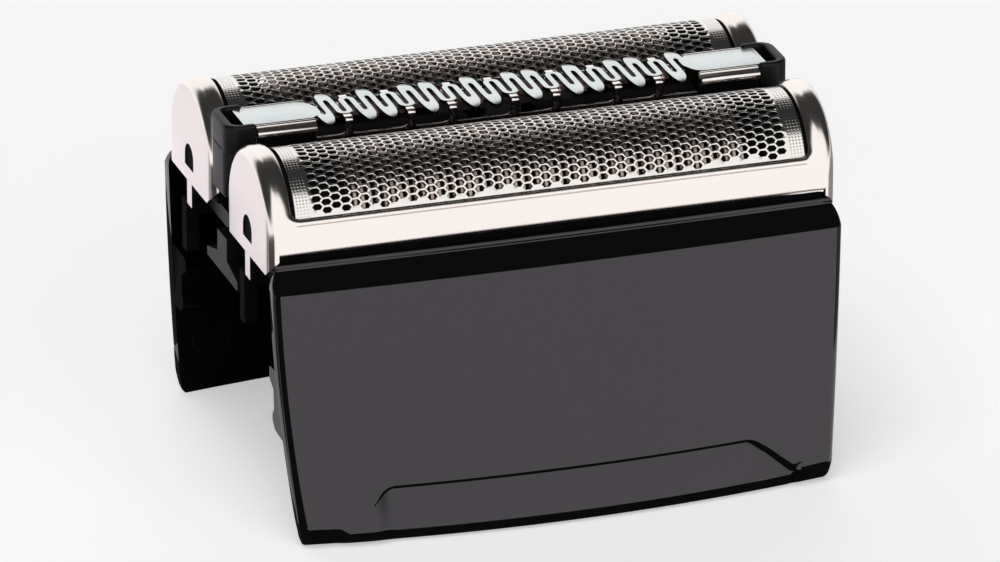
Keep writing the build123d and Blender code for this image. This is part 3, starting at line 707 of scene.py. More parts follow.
class FOILHEAD_OT_frames(bpy.types.Operator):
    """Builds the two drawn steel frames with their rims, windows, notches and tabs"""

    bl_idname = "foil_head.frames"
    bl_label = "Foil Frames"
    bl_options = {"REGISTER", "UNDO"}

    def execute(self, context):
        for side in HEADS:
            self.frame(side)
            self.window_roll(side)
        return {"FINISHED"}

    def window(self, head):
        """Points round the window on the unrolled wall: place, outward direction and share of an end."""
        half = sizes().window_half / MM
        low = head.radius * asin(1 - sizes().window_drop / MM / head.radius)
        high = pi * head.radius - low
        corners = rounded([(half, high), (-half, high), (-half, low), (half, low)], [WINDOW_CORNER] * 4, 10)
        loop = []
        for here, there in zip(corners, corners[1:] + corners[:1]):
            count = max(1, int((Vector(there) - Vector(here)).length / 0.5))
            loop += [Vector(here).lerp(Vector(there), i / count) for i in range(count)]
        points = []
        for i, spot in enumerate(loop):
            along = (loop[(i + 1) % len(loop)] - loop[i - 1]).normalized()
            away = Vector((along.y, -along.x))
            points.append((spot, away, away.x * away.x))
        return points

    def roll_width(self, end):
        """Width of the rolled window edge, which is broad at the ends and narrow along the sides."""
        side = sizes().bead_width / MM
        return side + (sizes().rim_radius / MM + ROLL_OVERLAP - side) * end

    def frame(self, side):
        """Adds a frame's wall, rims, end faces and rolled lower edges."""
        head = Head(side)
        size = sizes()
        rim = size.rim_radius / MM
        run = head.end - rim
        floor = head.foot + TAB_LENGTH
        wall_floor = head.spring_line - floor - (FRAME_END_DROP - FRAME_WALL_DROP)
        half_turn = pi * head.radius
        curl = [EDGE_CURL * (1 - turn) - wall_floor for turn in spread(0, EDGE_TURN, 7)]
        around = [-(head.spring_line - floor), -wall_floor, curl[0], -FRAME_HEM, *spread(0, half_turn, 57)]
        around += [half_turn - s for s in reversed(around[:4])]
        wall = list(reversed(curl)) + [s for s in around if -FRAME_HEM <= s <= half_turn + FRAME_HEM]
        wall += [half_turn - s for s in curl]
        outline = [(run, s) for s in wall] + [(-run, s) for s in reversed(wall)]
        window = [tuple(spot + away * self.roll_width(end)) for spot, away, end in self.window(head)]
        # Lines along the wall keep it even, and stay clear of the window
        low = min(s for x, s in window) - WINDOW_CLEAR
        lines = []
        for s in wall[1:-1]:
            if s < low or s > half_turn - low:
                lines.append([(x, s) for x in spread(-run, run, 33)])

        def place(x, s):
            """The wall stands straight to its lower edge, which curls inwards."""
            over = max(curl[0] - s, s - (half_turn - curl[0]), 0) / EDGE_CURL
            if not over:
                return head.at(x, s, head.radius)
            across = head.radius - EDGE_CURL * (1 - cos(over))
            z = head.spring_line + curl[0] - EDGE_CURL * sin(over)
            return x, head.middle + (across if s > 0 else -across), z

        bm = bmesh.new()
        add_sheet(bm, flat_fill([outline], [window], lines), place)
        for end in (-1, 1):
            rows = []
            for turn in spread(0, pi / 2, 11):
                radius = head.radius - rim * (1 - cos(turn))
                x = end * (run + rim * sin(turn))
                # The rim's foot slants from the wall's edge down to the end face's
                foot = -wall_floor - (FRAME_END_DROP - FRAME_WALL_DROP) * turn / (pi / 2)
                slanted = [foot, *around[1:-1], half_turn - foot]
                rows.append([head.at(x, self.shrunk(s, head.radius, radius), radius) for s in slanted])
            add_grid(bm, rows if end < 0 else list(reversed(rows)))
            self.end_face(bm, head, end, [point[1:] for point in rows[-1]], floor)
        bmesh.ops.remove_doubles(bm, verts=bm.verts[:], dist=0.002 * MM)
        name = f"{side}_drawn_frame"
        nodes = (f"{side}_foil_frame",)
        piece = place_piece(bm, name, "Polished stainless", f"{side}_head", nodes, 50)
        sheet = piece.modifiers.new("Sheet", "SOLIDIFY")
        sheet.thickness = size.frame_sheet
        sheet.offset = -1
        settle(piece)
        piece.data.set_sharp_from_angle(angle=radians(50))

    def shrunk(self, s, radius, smaller):
        """The place on a smaller arch that lies on the same ray, or at the same height on its sides."""
        if s <= 0:
            return s
        if s >= pi * radius:
            return s - pi * (radius - smaller)
        return s * smaller / radius

    def end_face(self, bm, head, end, arch, floor):
        """Adds the flat face inside a rim, with its notch and tab."""
        half = TAB_WIDTH / 2
        outline = list(arch)
        foot = [(head.middle - half, floor), (head.middle - half, floor - TAB_LENGTH)]
        foot += [(head.middle + half, floor - TAB_LENGTH), (head.middle + half, floor)]
        outline += list(reversed(foot))
        half = NOTCH_WIDTH / 2
        notch = [(head.middle - half, floor + NOTCH_FOOT), (head.middle + half, floor + NOTCH_FOOT)]
        for turn in spread(0, pi, 15):
            notch.append((head.middle + half * cos(turn), floor + NOTCH_TOP + half * (sin(turn) - 1)))
        flat = flat_fill([outline], [notch])
        add_sheet(bm, flat, lambda y, z: (end * head.end, y, z))

    def window_roll(self, side):
        """Adds the rolled edge of a window: a small bead along its sides that swells into the end rims."""
        head = Head(side)
        bead = sizes().bead_height / MM
        shares = (0, 0.07, 0.14, 0.25, 0.36, 0.47, 0.58, 0.69, 0.8, 0.87, 0.93, 0.97, 1.0)

        def height(share, end):
            """Height over the wall at a share of the roll's width, counted from the outside."""
            rim = -RIM_FALL * (1 - (1 - share * share) ** 0.5)
            crown = (share - GROOVE_END) / (CROWN_END - GROOVE_END)
            lift = bead * sin(pi * crown) if GROOVE_END < share < CROWN_END else 0.0
            groove = GROOVE_DEPTH * sin(pi * share / GROOVE_END) if share < GROOVE_END else 0.0
            beyond = max(0.0, (share - CROWN_END) / (1 - CROWN_END))
            fall = CROWN_FALL * (1 - max(0.0, 1 - beyond * beyond) ** 0.5)
            return end * rim + (1 - end) * (lift - groove - fall)

        rows = []
        for spot, away, end in self.window(head):
            width = self.roll_width(end)
            row = []
            for share in shares:
                x, s = spot + away * width * (1 - share)
                row.append(head.at(x, s, head.radius + height(share, end)))
            skirt = SKIRT_SIDE + (SKIRT_END - SKIRT_SIDE) * end
            for share, depth in ((1.0, skirt), (0.0, ROLL_BACK)):
                x, s = spot + away * width * (1 - share)
                row.append(head.at(x, s, head.radius - depth))
            rows.append(row)
        bm = bmesh.new()
        add_grid(bm, rows + rows[:1], closed=True)
        bmesh.ops.remove_doubles(bm, verts=bm.verts[:], dist=0.001 * MM)
        place_piece(bm, f"{side}_window_roll", "Polished stainless", f"{side}_head", (), 65)


class FOILHEAD_OT_foils(bpy.types.Operator):
    """Builds the two arched foils with their honeycomb of holes"""

    bl_idname = "foil_head.foils"
    bl_label = "Perforated Foils"
    bl_options = {"REGISTER", "UNDO"}

    def execute(self, context):
        size = sizes()
        low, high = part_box("front_foil")
        half = high.x / MM
        radius = (high.y - low.y) / 2 / MM
        drop = Head("front").spring_line - low.z / MM
        gauge = size.foil_gauge / MM
        ends = spread(-drop, pi * radius + drop, 45)
        outline = [(half, s) for s in ends] + [(-half, s) for s in reversed(ends)]
        points = self.plain_points(half, ends)
        places = self.hole_places(radius)
        mouths = [self.hexagon(x, s, 0.0) for x, s in places]
        throats = [self.hexagon(x, s, WEB_ROUNDING) for x, s in places]
        front = flat_fill([outline], mouths, (), points)
        back = flat_fill([outline], throats, (), points)
        for side in HEADS:
            head = Head(side)

            def at(depth):
                """Places on the foil at a depth below its outside."""
                def place(x, s):
                    inner = s * (radius - depth) / radius if 0 < s < pi * radius else s
                    if s >= pi * radius:
                        inner = s - pi * depth
                    return head.at(x, inner, radius - depth)
                return place

            bm = bmesh.new()
            add_sheet(bm, front, at(0.0))
            add_sheet(bm, back, at(gauge))
            add_grid(bm, [[at(depth)(x, s) for x, s in outline] for depth in (0.0, gauge)], closed=True)
            sheets = len(bm.faces)
            for mouth, throat in zip(mouths, throats):
                rows = [[at(0.0)(x, s) for x, s in mouth]]
                rows += [[at(depth)(x, s) for x, s in throat] for depth in (WEB_ROUNDING, gauge)]
                add_grid(bm, rows, closed=True)
            # Each hole has a rounded edge of six faces, then a wall of six, which takes the darker nickel as
            # painted shade
            for i, face in enumerate(bm.faces[:][sheets:]):
                face.material_index = i // 6 % 2
            bmesh.ops.remove_doubles(bm, verts=bm.verts[:], dist=0.0005 * MM)
            name = f"{side}_perforated_foil"
            nodes = (f"{side}_foil",)
            piece = place_piece(bm, name, "Electroformed nickel", f"{side}_head", nodes, 60)
            piece.data.materials.append(material("Shaded hole nickel"))
        return {"FINISHED"}

    def hole_places(self, radius):
        """Middles of the holes on the unrolled foil: staggered columns that drift up towards the left."""
        size = sizes()
        pitch = size.hole_pitch / MM
        rise = size.row_pitch / MM
        middle = pi * radius / 2
        reach = radius * (pi / 2 - asin((Head("front").radius - size.window_drop / MM) / radius))
        places = []
        for column in range(size.hole_columns):
            x = (column - (size.hole_columns - 1) / 2) * pitch
            for row in range(size.hole_rows):
                s = (row - (size.hole_rows - 1) / 2 + column % 2 / 2) * rise + self.drift(x)
                if abs(s) < reach - rise / 2:
                    places.append((x, middle + s))
        return places

    def drift(self, x):
        """How far the holes stand above their level rows: the left ones rise, the rest sway a little."""
        rise = DRIFT_RISE / (1 + exp((x - DRIFT_PLACE) / DRIFT_SPAN))
        return rise + DRIFT_LEVEL + SWAY * sin(x / SWAY_LENGTH)

    def hexagon(self, x, s, inset):
        """Outline of a hole, a long hexagon whose points lie along the foil."""
        size = sizes()
        third = size.hole_pitch / MM / 3
        half = size.row_pitch / MM / 2
        rim = size.web / MM / 2 + inset
        flank = hypot(third, half)
        tip = 2 * third - rim * flank / half
        edge = half - rim
        side = tip - edge * third / half
        corners = [(tip, 0), (side, edge), (-side, edge), (-tip, 0), (-side, -edge), (side, -edge)]
        return [(x + u, s + v) for u, v in corners]

    def plain_points(self, half, ends):
        """Points that keep the plain bands and hems round."""
        size = sizes()
        edge = size.hole_columns / 2 * size.hole_pitch / MM
        margin = 0.3
        points = []
        for x in spread(edge + margin, half - margin, 5):
            for s in ends[1:-1]:
                points += [(x, s), (-x, s)]
        for s in (*ends[1:4], *ends[-4:-1]):
            points += [(x, s) for x in spread(-edge, edge, 70)]
        return points


class FOILHEAD_OT_cutters(bpy.types.Operator):
    """Builds the rows of thin arched lamellas that show through the foils' holes"""

    bl_idname = "foil_head.cutters"
    bl_label = "Cutter Lamellas"
    bl_options = {"REGISTER", "UNDO"}

    def execute(self, context):
        pitch = sizes().lamella_pitch / MM
        for side in HEADS:
            head = Head(side)
            node_name = f"{side}_cutter_blades"
            low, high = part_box(node_name)
            holder_low, holder_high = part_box(f"{side}_cutter_holder")
            outer = (high.y - low.y) / 2 / MM
            foot = head.spring_line - low.z / MM
            count = int((holder_high.x - holder_low.x) / MM / pitch - 0.5)
            bm = bmesh.new()
            for number in range(count + 1):
                self.lamella(bm, head, (number - count / 2) * pitch, outer, foot)
            finish = "Hardened blade steel"
            place_piece(bm, f"{side}_lamellas", finish, f"{side}_cutter", (node_name,), 40)
        return {"FINISHED"}

    def lamella(self, bm, head, x, outer, foot):
        """Adds one arched lamella with a ground edge."""
        half = sizes().lamella_width / MM / 2
        width, height = LAMELLA_GROUND
        section = [(-half, -height), (-half, -LAMELLA_DEPTH), (half, -LAMELLA_DEPTH), (half, -height)]
        section += [(half - width, 0), (width - half, 0)]
        rows = []
        for turn in [-foot] + spread(0, pi, 29) + [pi + foot]:
            row = []
            for across, depth in section:
                radius = outer + depth
                place = min(max(turn, 0), pi) * radius
                if turn < 0:
                    place = -foot
                elif turn > pi:
                    place = pi * radius + foot
                row.append(head.at(x + across, place, radius))
            rows.append(row)
        add_loft(bm, rows)


class FOILHEAD_OT_comb(bpy.types.Operator):
    """Builds the trimmer's flat comb: a serpentine ribbon with long lobes between two end plates"""

    bl_idname = "foil_head.comb"
    bl_label = "Trimmer Comb"
    bl_options = {"REGISTER", "UNDO"}

    def execute(self, context):
        width = sizes().ribbon_width / MM
        outlines = []
        slots = []
        bends = bend_places()
        for x, side, is_lobe in bends:
            if is_lobe:
                outlines.append(self.lobe(x, side))
                slots.append((x, side))
            else:
                outlines.append(self.bend(x, side, width))
        for here, there in zip(bends, bends[1:]):
            x = (here[0] + there[0]) / 2
            outlines.append(self.strand(x, width))
        outlines.append(self.plate())
        outlines.append([(-x, -y) for x, y in outlines[-1]])
        flat = flat_fill(outlines, [self.slot(x, side, width) for x, side in slots])
        top = COMB_HIGH.z / MM
        sheet = (COMB_HIGH.z - COMB_LOW.z) / MM

        def bent(y):
            """The lobes' tips turn down a little."""
            over = max(0.0, abs(y) - TIP_START)
            return -TIP_FALL * over * over

        bm = bmesh.new()
        add_sheet(bm, flat, lambda x, y: (x, y, top + bent(y)), lambda x, y: (x, y, top - sheet + bent(y)))
        name = "trimmer_serpentine_comb"
        piece = place_piece(bm, name, "Ground stainless", "trimmer", ("trimmer_comb",), 35)
        soften(piece, COMB_ROUND, 2, 50)
        # Faces that do not point up get a dark steel: painted shade on the comb's sides
        piece.data.materials.append(material("Shaded comb side"))
        for face in piece.data.polygons:
            if face.normal.z < COMB_SHADE_TILT:
                face.material_index = 1
        return {"FINISHED"}

    def plate(self):
        """The left end plate, whose inner end reaches out to the first strand."""
        half = PLATE_WIDTH / 2
        end = COMB_HIGH.x / MM
        start = plate_start()
        corners = [(-end, -half), (-start - 0.2, -half), (-start + 0.75, -1.0)]
        corners += [(-start + 0.72, 0.3), (-start, half), (-end, half)]
        return rounded(corners, [0.4, 0.2, 0.1, 0.9, 1.3, 0.4])

    def strand(self, x, width):
        """A straight stretch of the ribbon across the trimmer."""
        low, high = x - width / 2, x + width / 2
        return [(low, -STRAND_HALF), (high, -STRAND_HALF), (high, STRAND_HALF), (low, STRAND_HALF)]

    def bend(self, x, side, width):
        """A small U bend of the ribbon, with a nearly flat back."""
        outer = bend_pitch() / 2 + width / 2
        inner = bend_pitch() / 2 - width / 2

        def back(turn, rise):
            return side * (LOBE_ROOT + rise * sin(turn) ** BEND_SQUARENESS)

        outline = [(x + outer * cos(t), back(t, BEND_OUTSIDE)) for t in spread(0, pi, 15)]
        outline += [(x + inner * cos(t), back(t, BEND_INSIDE)) for t in spread(pi, 0, 9)]
        return outline

    def lobe(self, x, side):
        """A long pointed leaf over a bend, which grows out of the two strands beside it."""
        size = sizes()
        reach = size.lobe_reach / MM
        swell = size.lobe_width / MM / 2
        foot = bend_pitch() / 2 + size.ribbon_width / MM / 2
        right = [(foot, LOBE_ROOT)]
        for turn in spread(0, pi / 2, 15):
            right.append((swell * cos(turn), LOBE_WIDEST + (reach - LOBE_WIDEST) * sin(turn)))
        outline = [(x + half, side * y) for half, y in right]
        outline += [(x - half, side * y) for half, y in reversed(right[:-1])]
        return outline

    def slot(self, x, side, width):
        """The narrow slot between two strands, which runs up into the root of a leaf."""
        half = bend_pitch() / 2 - width / 2
        root = side * (LOBE_ROOT - SLOT_OVERLAP)
        outline = [(x - half, root), (x + half, root)]
        for turn in spread(0, pi, 9):
            y = LOBE_ROOT + SLOT_RISE + SLOT_END * sin(turn)
            outline.append((x + half * cos(turn), side * y))
        return outline


def bend_pitch():
    """Distance between two bends of the comb's ribbon, in millimetres."""
    return 2 * plate_start() / (BENDS + 1)


def plate_start():
    """Inner end of the comb's end plates, in millimetres."""
    return COMB_HIGH.x / MM - PLATE_LENGTH


def bend_places():
    """Each bend of the ribbon from the left: x, side (-1 is the front) and whether it is a long lobe."""
    front = (True, False, True, True, False)
    rear = (True, False, True, False, True)
    places = []
    for number in range(BENDS):
        x = (number - (BENDS - 1) / 2) * bend_pitch()
        order = rear if number % 2 else front
        places.append((x, 1 if number % 2 else -1, order[number // 2 % 5]))
    return places


class FOILHEAD_OT_clips(bpy.types.Operator):
    """Builds the folded clips that hold the comb's small bends, and the channel that they rise from"""

    bl_idname = "foil_head.clips"
    bl_label = "Comb Clips"
    bl_options = {"REGISTER", "UNDO"}

    def execute(self, context):
        low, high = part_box("trimmer_clips")
        floor = low.z / MM
        bm = bmesh.new()
        for side in (-1, 1):
            self.wall(bm, side, high.x / MM, floor)
        for x, side, is_lobe in bend_places():
            if not is_lobe:
                self.hook(bm, x, side, floor, COMB_HIGH.z / MM - CLIP_BELOW_COMB)
        name = "trimmer_clip_strip"
        finish = "Tempered spring steel"
        piece = place_piece(bm, name, finish, "trimmer", ("trimmer_clips",), 40)
        # The faces that point up get bright polished steel: a painted highlight on the tops
        piece.data.materials.append(material("Polished stainless"))
        for face in piece.data.polygons:
            if face.normal.z > CLIP_HIGHLIGHT_TILT:
                face.material_index = 1
        return {"FINISHED"}

    def wall(self, bm, side, run, floor):
        """Adds one side of the channel, whose rounded upper edge swings up at each clip."""
        rows = []
        half = CHANNEL_SHEET / 2
        clips = [x for x, where, is_lobe in bend_places() if where == side and not is_lobe]
        for x in spread(-run, run, 181):
            near = min(abs(x - clip) for clip in clips)
            edge = floor + CHANNEL_HEIGHT + CHANNEL_SWING * max(0.0, 1 - near / CHANNEL_REACH) ** 2
            row = [(x, side * (CHANNEL_SIDE - half), floor), (x, side * (CHANNEL_SIDE + half), floor)]
            for turn in spread(0, pi, 6):
                row.append((x, side * (CHANNEL_SIDE + half * cos(turn)), edge - half + half * sin(turn)))
            rows.append(row)
        add_loft(bm, rows)

    def hook(self, bm, x, side, floor, top):
        """Adds a strip that leaves the channel, rises outside a bend and turns in to its edge."""
        half = CLIP_SHEET / 2
        low = floor + CLIP_SHEET
        high = top - half
        path = [(CLIP_ROOT, low)]
        for turn in spread(-pi / 2, 0, 6):
            path.append((CLIP_OUT - CLIP_BEND * (1 - cos(turn)), low + CLIP_BEND * (1 + sin(turn))))
        for turn in spread(0, pi / 2, 7):
            path.append((CLIP_OUT - CLIP_BEND * (1 - cos(turn)), high - CLIP_BEND * (1 - sin(turn))))
        path.append((CLIP_TIP, high))
        section = rounded_box(CLIP_WIDTH, CLIP_SHEET, CLIP_CORNER, 3)
        rows = []
        for i, (y, z) in enumerate(path):
            before = Vector(path[max(0, i - 1)])
            after = Vector(path[min(len(path) - 1, i + 1)])
            along = (after - before).normalized()
            rows.append(((x, side * y, z), (1, 0, 0), (0, side * along.y, -along.x)))
        add_tube(bm, rows, section)


class FOILHEAD_OT_rails(bpy.types.Operator):
    """Builds the folded saddles with rolled rails beside the comb's end plates"""

    bl_idname = "foil_head.rails"
    bl_label = "Trimmer Rails"
    bl_options = {"REGISTER", "UNDO"}

    def execute(self, context):
        for end in ("left", "right"):
            node_name = f"trimmer_{end}_saddle"
            low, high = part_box(node_name)
            start = plate_start()
            bm = bmesh.new()
            for side in (-1, 1):
                self.rail(bm, end == "left", start, RAIL_END, side, low.z / MM, high.z / MM)
            floor = low.z / MM
            across = (-SADDLE_HALF, SADDLE_HALF)
            add_block(bm, (low.x / MM, high.x / MM), across, (floor, floor + SADDLE_SHEET))
            name = f"trimmer_{end}_rails"
            place_piece(bm, name, "Polished stainless", "trimmer", (node_name,), 40)
        return {"FINISHED"}

    def rail(self, bm, is_left, start, end, side, floor, top):
        """Adds one rolled rail on its wall: a thin roll above a thick one."""
        inner, outer = RAIL_WALL
        outline = [(inner, floor), (inner, top - RAIL_EDGE)]
        for turn in spread(pi, -0.1, 9):
            outline.append((inner + RAIL_THIN * (1 + cos(turn)), top - RAIL_THIN * (1 - sin(turn))))
        for turn in spread(0.42 * pi, -0.75 * pi, 13):
            y = RAIL_THICK_OUT + RAIL_THICK * cos(turn)
            outline.append((y, top - RAIL_THICK_DROP + RAIL_THICK * sin(turn)))
        outline.append((outer, floor))
        # The inner end is drawn in a little towards the middle of the section
        middle = Vector((outer + 0.05, (top + floor) / 2 + 0.4))
        rows = []
        for x, inset in (*((start + past, inset) for past, inset in RAIL_INSETS), (end, 0)):
            row = []
            for point in outline:
                away = Vector(point) - middle
                y, z = middle + away * max(0.0, 1 - inset / max(away.length, 0.2))
                row.append((-x if is_left else x, side * y, z))
            rows.append(row)
        add_loft(bm, rows)


class FOILHEAD_OT_body(bpy.types.Operator):
    """Builds the trimmer's moulded body with its rounded end caps"""

    bl_idname = "foil_head.body"
    bl_label = "Trimmer Body"
    bl_options = {"REGISTER", "UNDO"}

    def execute(self, context):
        bm = bmesh.new()
        for end in (-1, 1):
            self.cap(bm, end)
        name = "trimmer_end_caps"
        piece = place_piece(bm, name, "Satin black nylon", "trimmer", ("trimmer_body",), 40)
        soften(piece, CAP_ROUND, 4, 50)
        bm = bmesh.new()
        for end in (-1, 1):
            self.seat(bm, end)
        for side in (-1, 1):
            add_block(bm, (-BAR_END, BAR_END), span(side, *BAR_SIDES), BAR_HEIGHTS)
        floor = (-BAR_FLOOR_HALF, BAR_FLOOR_HALF)
        for end in (-1, 1):
            add_block(bm, span(end, DRIVE_GAP, BAR_END), floor, (BAR_HEIGHTS[0], BAR_FLOOR_TOP))
            for side in (-1, 1):
                add_block(bm, span(end, FIN_START, BAR_END), span(side, *FIN_SIDES), (CAP_LOW, FIN_TOP))
        piece = place_piece(bm, "trimmer_moulded_bar", "Matt black nylon", "trimmer", (), 40)
        soften(piece, BAR_ROUND, 2, 50)
        return {"FINISHED"}

    def cap(self, bm, end):
        """Adds an end cap: a wall round three sides of the plate's end on a solid foot."""
        outer = BODY_HIGH.x / MM - CAP_SHORT
        top = BODY_HIGH.z / MM
        wall = outer - sizes().cap_wall / MM
        half = BODY_HIGH.y / MM

        def three_sides(x, y):
            """Corners from the start of the cap out to x and back."""
            return [(CAP_START, -y), (x, -y), (x, y), (CAP_START, y)]

        corners = three_sides(outer, half) + list(reversed(three_sides(wall, CAP_INSIDE)))
        ring = rounded(corners, [0.29, 1.25, 1.25, 0.29, 0.29, 0.6, 0.6, 0.29])
        add_prism(bm, mirrored(ring, end), lambda u, v, w: (u, v, w), (CAP_LOW, top))
        # The pocket's floor lies inside the wall, and the foot below it is a little narrower
        inside = half - CAP_FLOOR_INSET
        run = span(end, CAP_START, outer - CAP_FLOOR_INSET)
        add_block(bm, run, (-inside, inside), CAP_FLOOR_HEIGHTS)
        foot = rounded(three_sides(outer, half - CAP_FOOT_INSET), [0, 0.95, 0.95, 0])
        add_prism(bm, mirrored(foot, end), lambda u, v, w: (u, v, w), (CAP_FOOT_LOW, CAP_FOOT_TOP))

    def seat(self, bm, end):
        """Adds the spring seat and the hooked guide leg of one end."""
        outer = BAR_SIDES[1]
        add_block(bm, span(end, *SEAT_RUN), (-outer, outer), (CAP_FOOT_LOW, BAR_HEIGHTS[1]))
        leg = (-BAR_FLOOR_HALF, BAR_FLOOR_HALF)
        add_block(bm, span(end, *LEG_RUN), leg, LEG_HEIGHTS)
        add_block(bm, span(end, LEG_RUN[0], BARB_END), leg, (LEG_HEIGHTS[0], BARB_TOP))


class FOILHEAD_OT_covers(bpy.types.Operator):
    """Builds the two gloss covers with their finger recesses and catches"""

    bl_idname = "foil_head.covers"
    bl_label = "Skirt Covers"
    bl_options = {"REGISTER", "UNDO"}

    def execute(self, context):
        for side, sign in HEADS.items():
            bm = bmesh.new()
            self.skin(bm, sign)
            self.fittings(bm, sign)
            bmesh.ops.remove_doubles(bm, verts=bm.verts[:], dist=0.001 * MM)
            name = f"{side}_gloss_cover"
            place_piece(bm, name, "Gloss black ABS", "base", (f"{side}_cover",), 30)
        return {"FINISHED"}

    def through(self, z, values):
        """Smooth value at a height, from its values at the foot, the waist and the crease."""
        total = 0.0
        for i, value in enumerate(values):
            share = value
            for j in range(3):
                if j != i:
                    share *= (z - COVER_LEVELS[j]) / (COVER_LEVELS[i] - COVER_LEVELS[j])
            total += share
        return total

    def section(self, z):
        """Half-length, reach, bow and inner reach of the cover at a height."""
        crease = COVER_LEVELS[2]
        low = min(max(z, COVER_LEVELS[0]), crease)
        over = min(max((z - crease) / (COVER_SHOULDER_TOP - crease), 0.0), 1.0)
        shares = (over * over, over, over, over)
        measures = (COVER_HALVES, COVER_REACHES, COVER_BOWS, COVER_INSIDES)
        return [self.through(low, m) - cut * s for m, cut, s in zip(measures, SHOULDER_CUTS, shares)]

    def edge_of_recess(self, x):
        """Height of the recess's upper edge at x: level, then curving down to both ends."""
        out = max(0.0, abs(x) - RECESS_LEVEL)
        curve = min(out, RECESS_CURVE)
        fall = RECESS_BEND * (curve * curve + 2 * RECESS_CURVE * (out - curve))
        return max(sizes().recess_height / MM - fall, FOOT_ROUND + FOOT_CLEAR)

    def foot_radius(self, x):
        """Height of the foot's rounding at x, smaller under the recess."""
        share = eased((RECESS_RIGHT - abs(x)) / FOOT_FADE)
        narrow = FOOT_NARROW + FOOT_WIDEN * (1 - self.recess_share(x))
        return FOOT_ROUND - (FOOT_ROUND - narrow) * share

    def recess_share(self, x):
        """Share of the recess's depth at x: it ends sharply on the right and runs out on the left."""
        right = (RECESS_RIGHT - x) / RECESS_RIGHT_FADE
        left = (x + RECESS_LEFT) / RECESS_LEFT_FADE
        return eased(min(right, left))

    def recess_step(self, x):
        """Height of the rounded step under the recess's edge, which broadens towards the ends."""
        broad = RECESS_STEP * (1 + RECESS_STEP_GROWTH * max(0.0, abs(x) - RECESS_LEVEL))
        room = self.edge_of_recess(x) - self.foot_radius(x) - RECESS_STEP_CLEAR
        return min(broad, RECESS_STEP_MOST, room)

    def row(self, sign, level):
        """One closed loop round the cover. level(x) gives its height, draw-in and sink at x."""
        points = []
        inner = []
        for u in spread(-1, 1, 161):
            z, draw, sink = level(COVER_RUN * u)
            half, reach, bow, back = self.section(z)
            corner = min(COVER_CORNER, (reach - draw - back) / 2)
            half -= END_DRAW * draw
            points.append((u * (half - corner), -(reach - draw - sink + bow * (1 - u * u)), z))
            inner.append((u * (half - INNER_SHORT), -(back + bow * (1 - u * u)), z))
        sides = []
        for end in (1, -1):
            z, draw, _ = level(end * COVER_RUN)
            half, reach, _, back = self.section(z)
            corner = min(COVER_CORNER, (reach - draw - back) / 2)
            start = half - END_DRAW * draw - corner
            arc = []
            for turn in spread(0, pi / 2, 9)[1:]:
                y = corner - corner * cos(turn) - reach + draw
                arc.append((end * (start + corner * sin(turn)), y, z))
            sides.append(arc)
        loop = points + sides[0] + list(reversed(inner)) + list(reversed(sides[1]))
        return [(x, -sign * y, z) for x, y, z in loop]

    def skin(self, bm, sign):
        """Adds the cover's closed skin, row by row from its foot."""
        depth = sizes().recess_depth / MM
        top = sizes().recess_height / MM
        crease = COVER_LEVELS[2]
        levels = []
        for turn in spread(0, pi / 2, 9):
            def foot_level(x, turn=turn):
                # What the recess sinks is taken off the draw-in, so that the lower edge stays in line
                sink = FOOT_SINK * self.recess_share(x)
                return self.foot_radius(x) * (1 - cos(turn)), (FOOT_DRAW - sink) * (1 - sin(turn)), sink

            levels.append(foot_level)

        def sunk(x, z):
            """Depth of the recess at x and z, which is less at the foot and runs out at both ends."""
            low = self.foot_radius(x)
            return self.recess_share(x) * (FOOT_SINK + (depth - FOOT_SINK) * (z - low) / (top - low))

        for share in spread(0, 1, 10)[1:]:
            def floor_level(x, share=share):
                low = self.foot_radius(x)
                z = low + (self.edge_of_recess(x) - self.recess_step(x) - low) * share
                return z, 0.0, sunk(x, z)

            levels.append(floor_level)
        for turn in spread(0, pi / 2, 7)[1:]:
            def wall_level(x, turn=turn):
                z = self.edge_of_recess(x) - self.recess_step(x) * cos(turn)
                return z, 0.0, (1 - sin(turn)) * sunk(x, z)

            levels.append(wall_level)
        for share in spread(0, 1, 24)[1:]:
            def panel_level(x, share=share):
                edge = self.edge_of_recess(x)
                return edge + (crease - CREASE_ROUND - edge) * share, 0.0, 0.0

            levels.append(panel_level)
        for z in (crease, *spread(crease + CREASE_ROUND, COVER_SHOULDER_TOP - 0.05, 8), COVER_SHOULDER_TOP):
            levels.append(lambda x, z=z: (z, 0.0, 0.0))
        # The lip has two low steps, each with a small flat face
        for rise, draw in LIP_STEPS:
            levels.append(lambda x, z=COVER_SHOULDER_TOP + rise, draw=draw: (z, draw, 0.0))
        add_loft(bm, [self.row(sign, level) for level in levels])

    def fittings(self, bm, sign):
        """Adds the catches inside both ends, the flange that meets the deck and the ejector rings."""
        profile = [(16.0, 8.6), (13.1, 8.8), (12.2, 9.7), (12.9, 10.5), (12.8, 12.2), (11.7, 12.8)]
        profile += [(11.7, 13.9), (15.7, 14.1)]
        outline = rounded(profile, [0, 0.7, 0.7, 0.4, 0.4, 0.2, 0.3, 0], 4)
        for end in (-1, 1):
            add_prism(bm, outline, lambda u, v, w: (w, sign * u, v), span(end, *CATCH_RUN))
        add_block(bm, (-FLANGE_HALF, FLANGE_HALF), span(sign, *FLANGE_REACH), (FLANGE_LOW, DECK_TOP))
        wide, high = RING_WIRE
        section = [(wide * cos(t), high * sin(t)) for t in spread(0, 2 * pi, 9)[:-1]]
        for x in (-RING_X, RING_X):
            path = []
            for turn in spread(0, 2 * pi, 33)[:-1]:
                z = RING_Z + RING_RADIUS * sin(turn)
                half, _, bow, back = self.section(z)
                spot = x + RING_RADIUS * cos(turn)
                y = back + bow * (1 - (spot / half) ** 2)
                path.append(((spot, sign * y, z), (cos(turn), 0, sin(turn)), (0, -sign, 0)))
            add_tube(bm, path, section, closed=True)


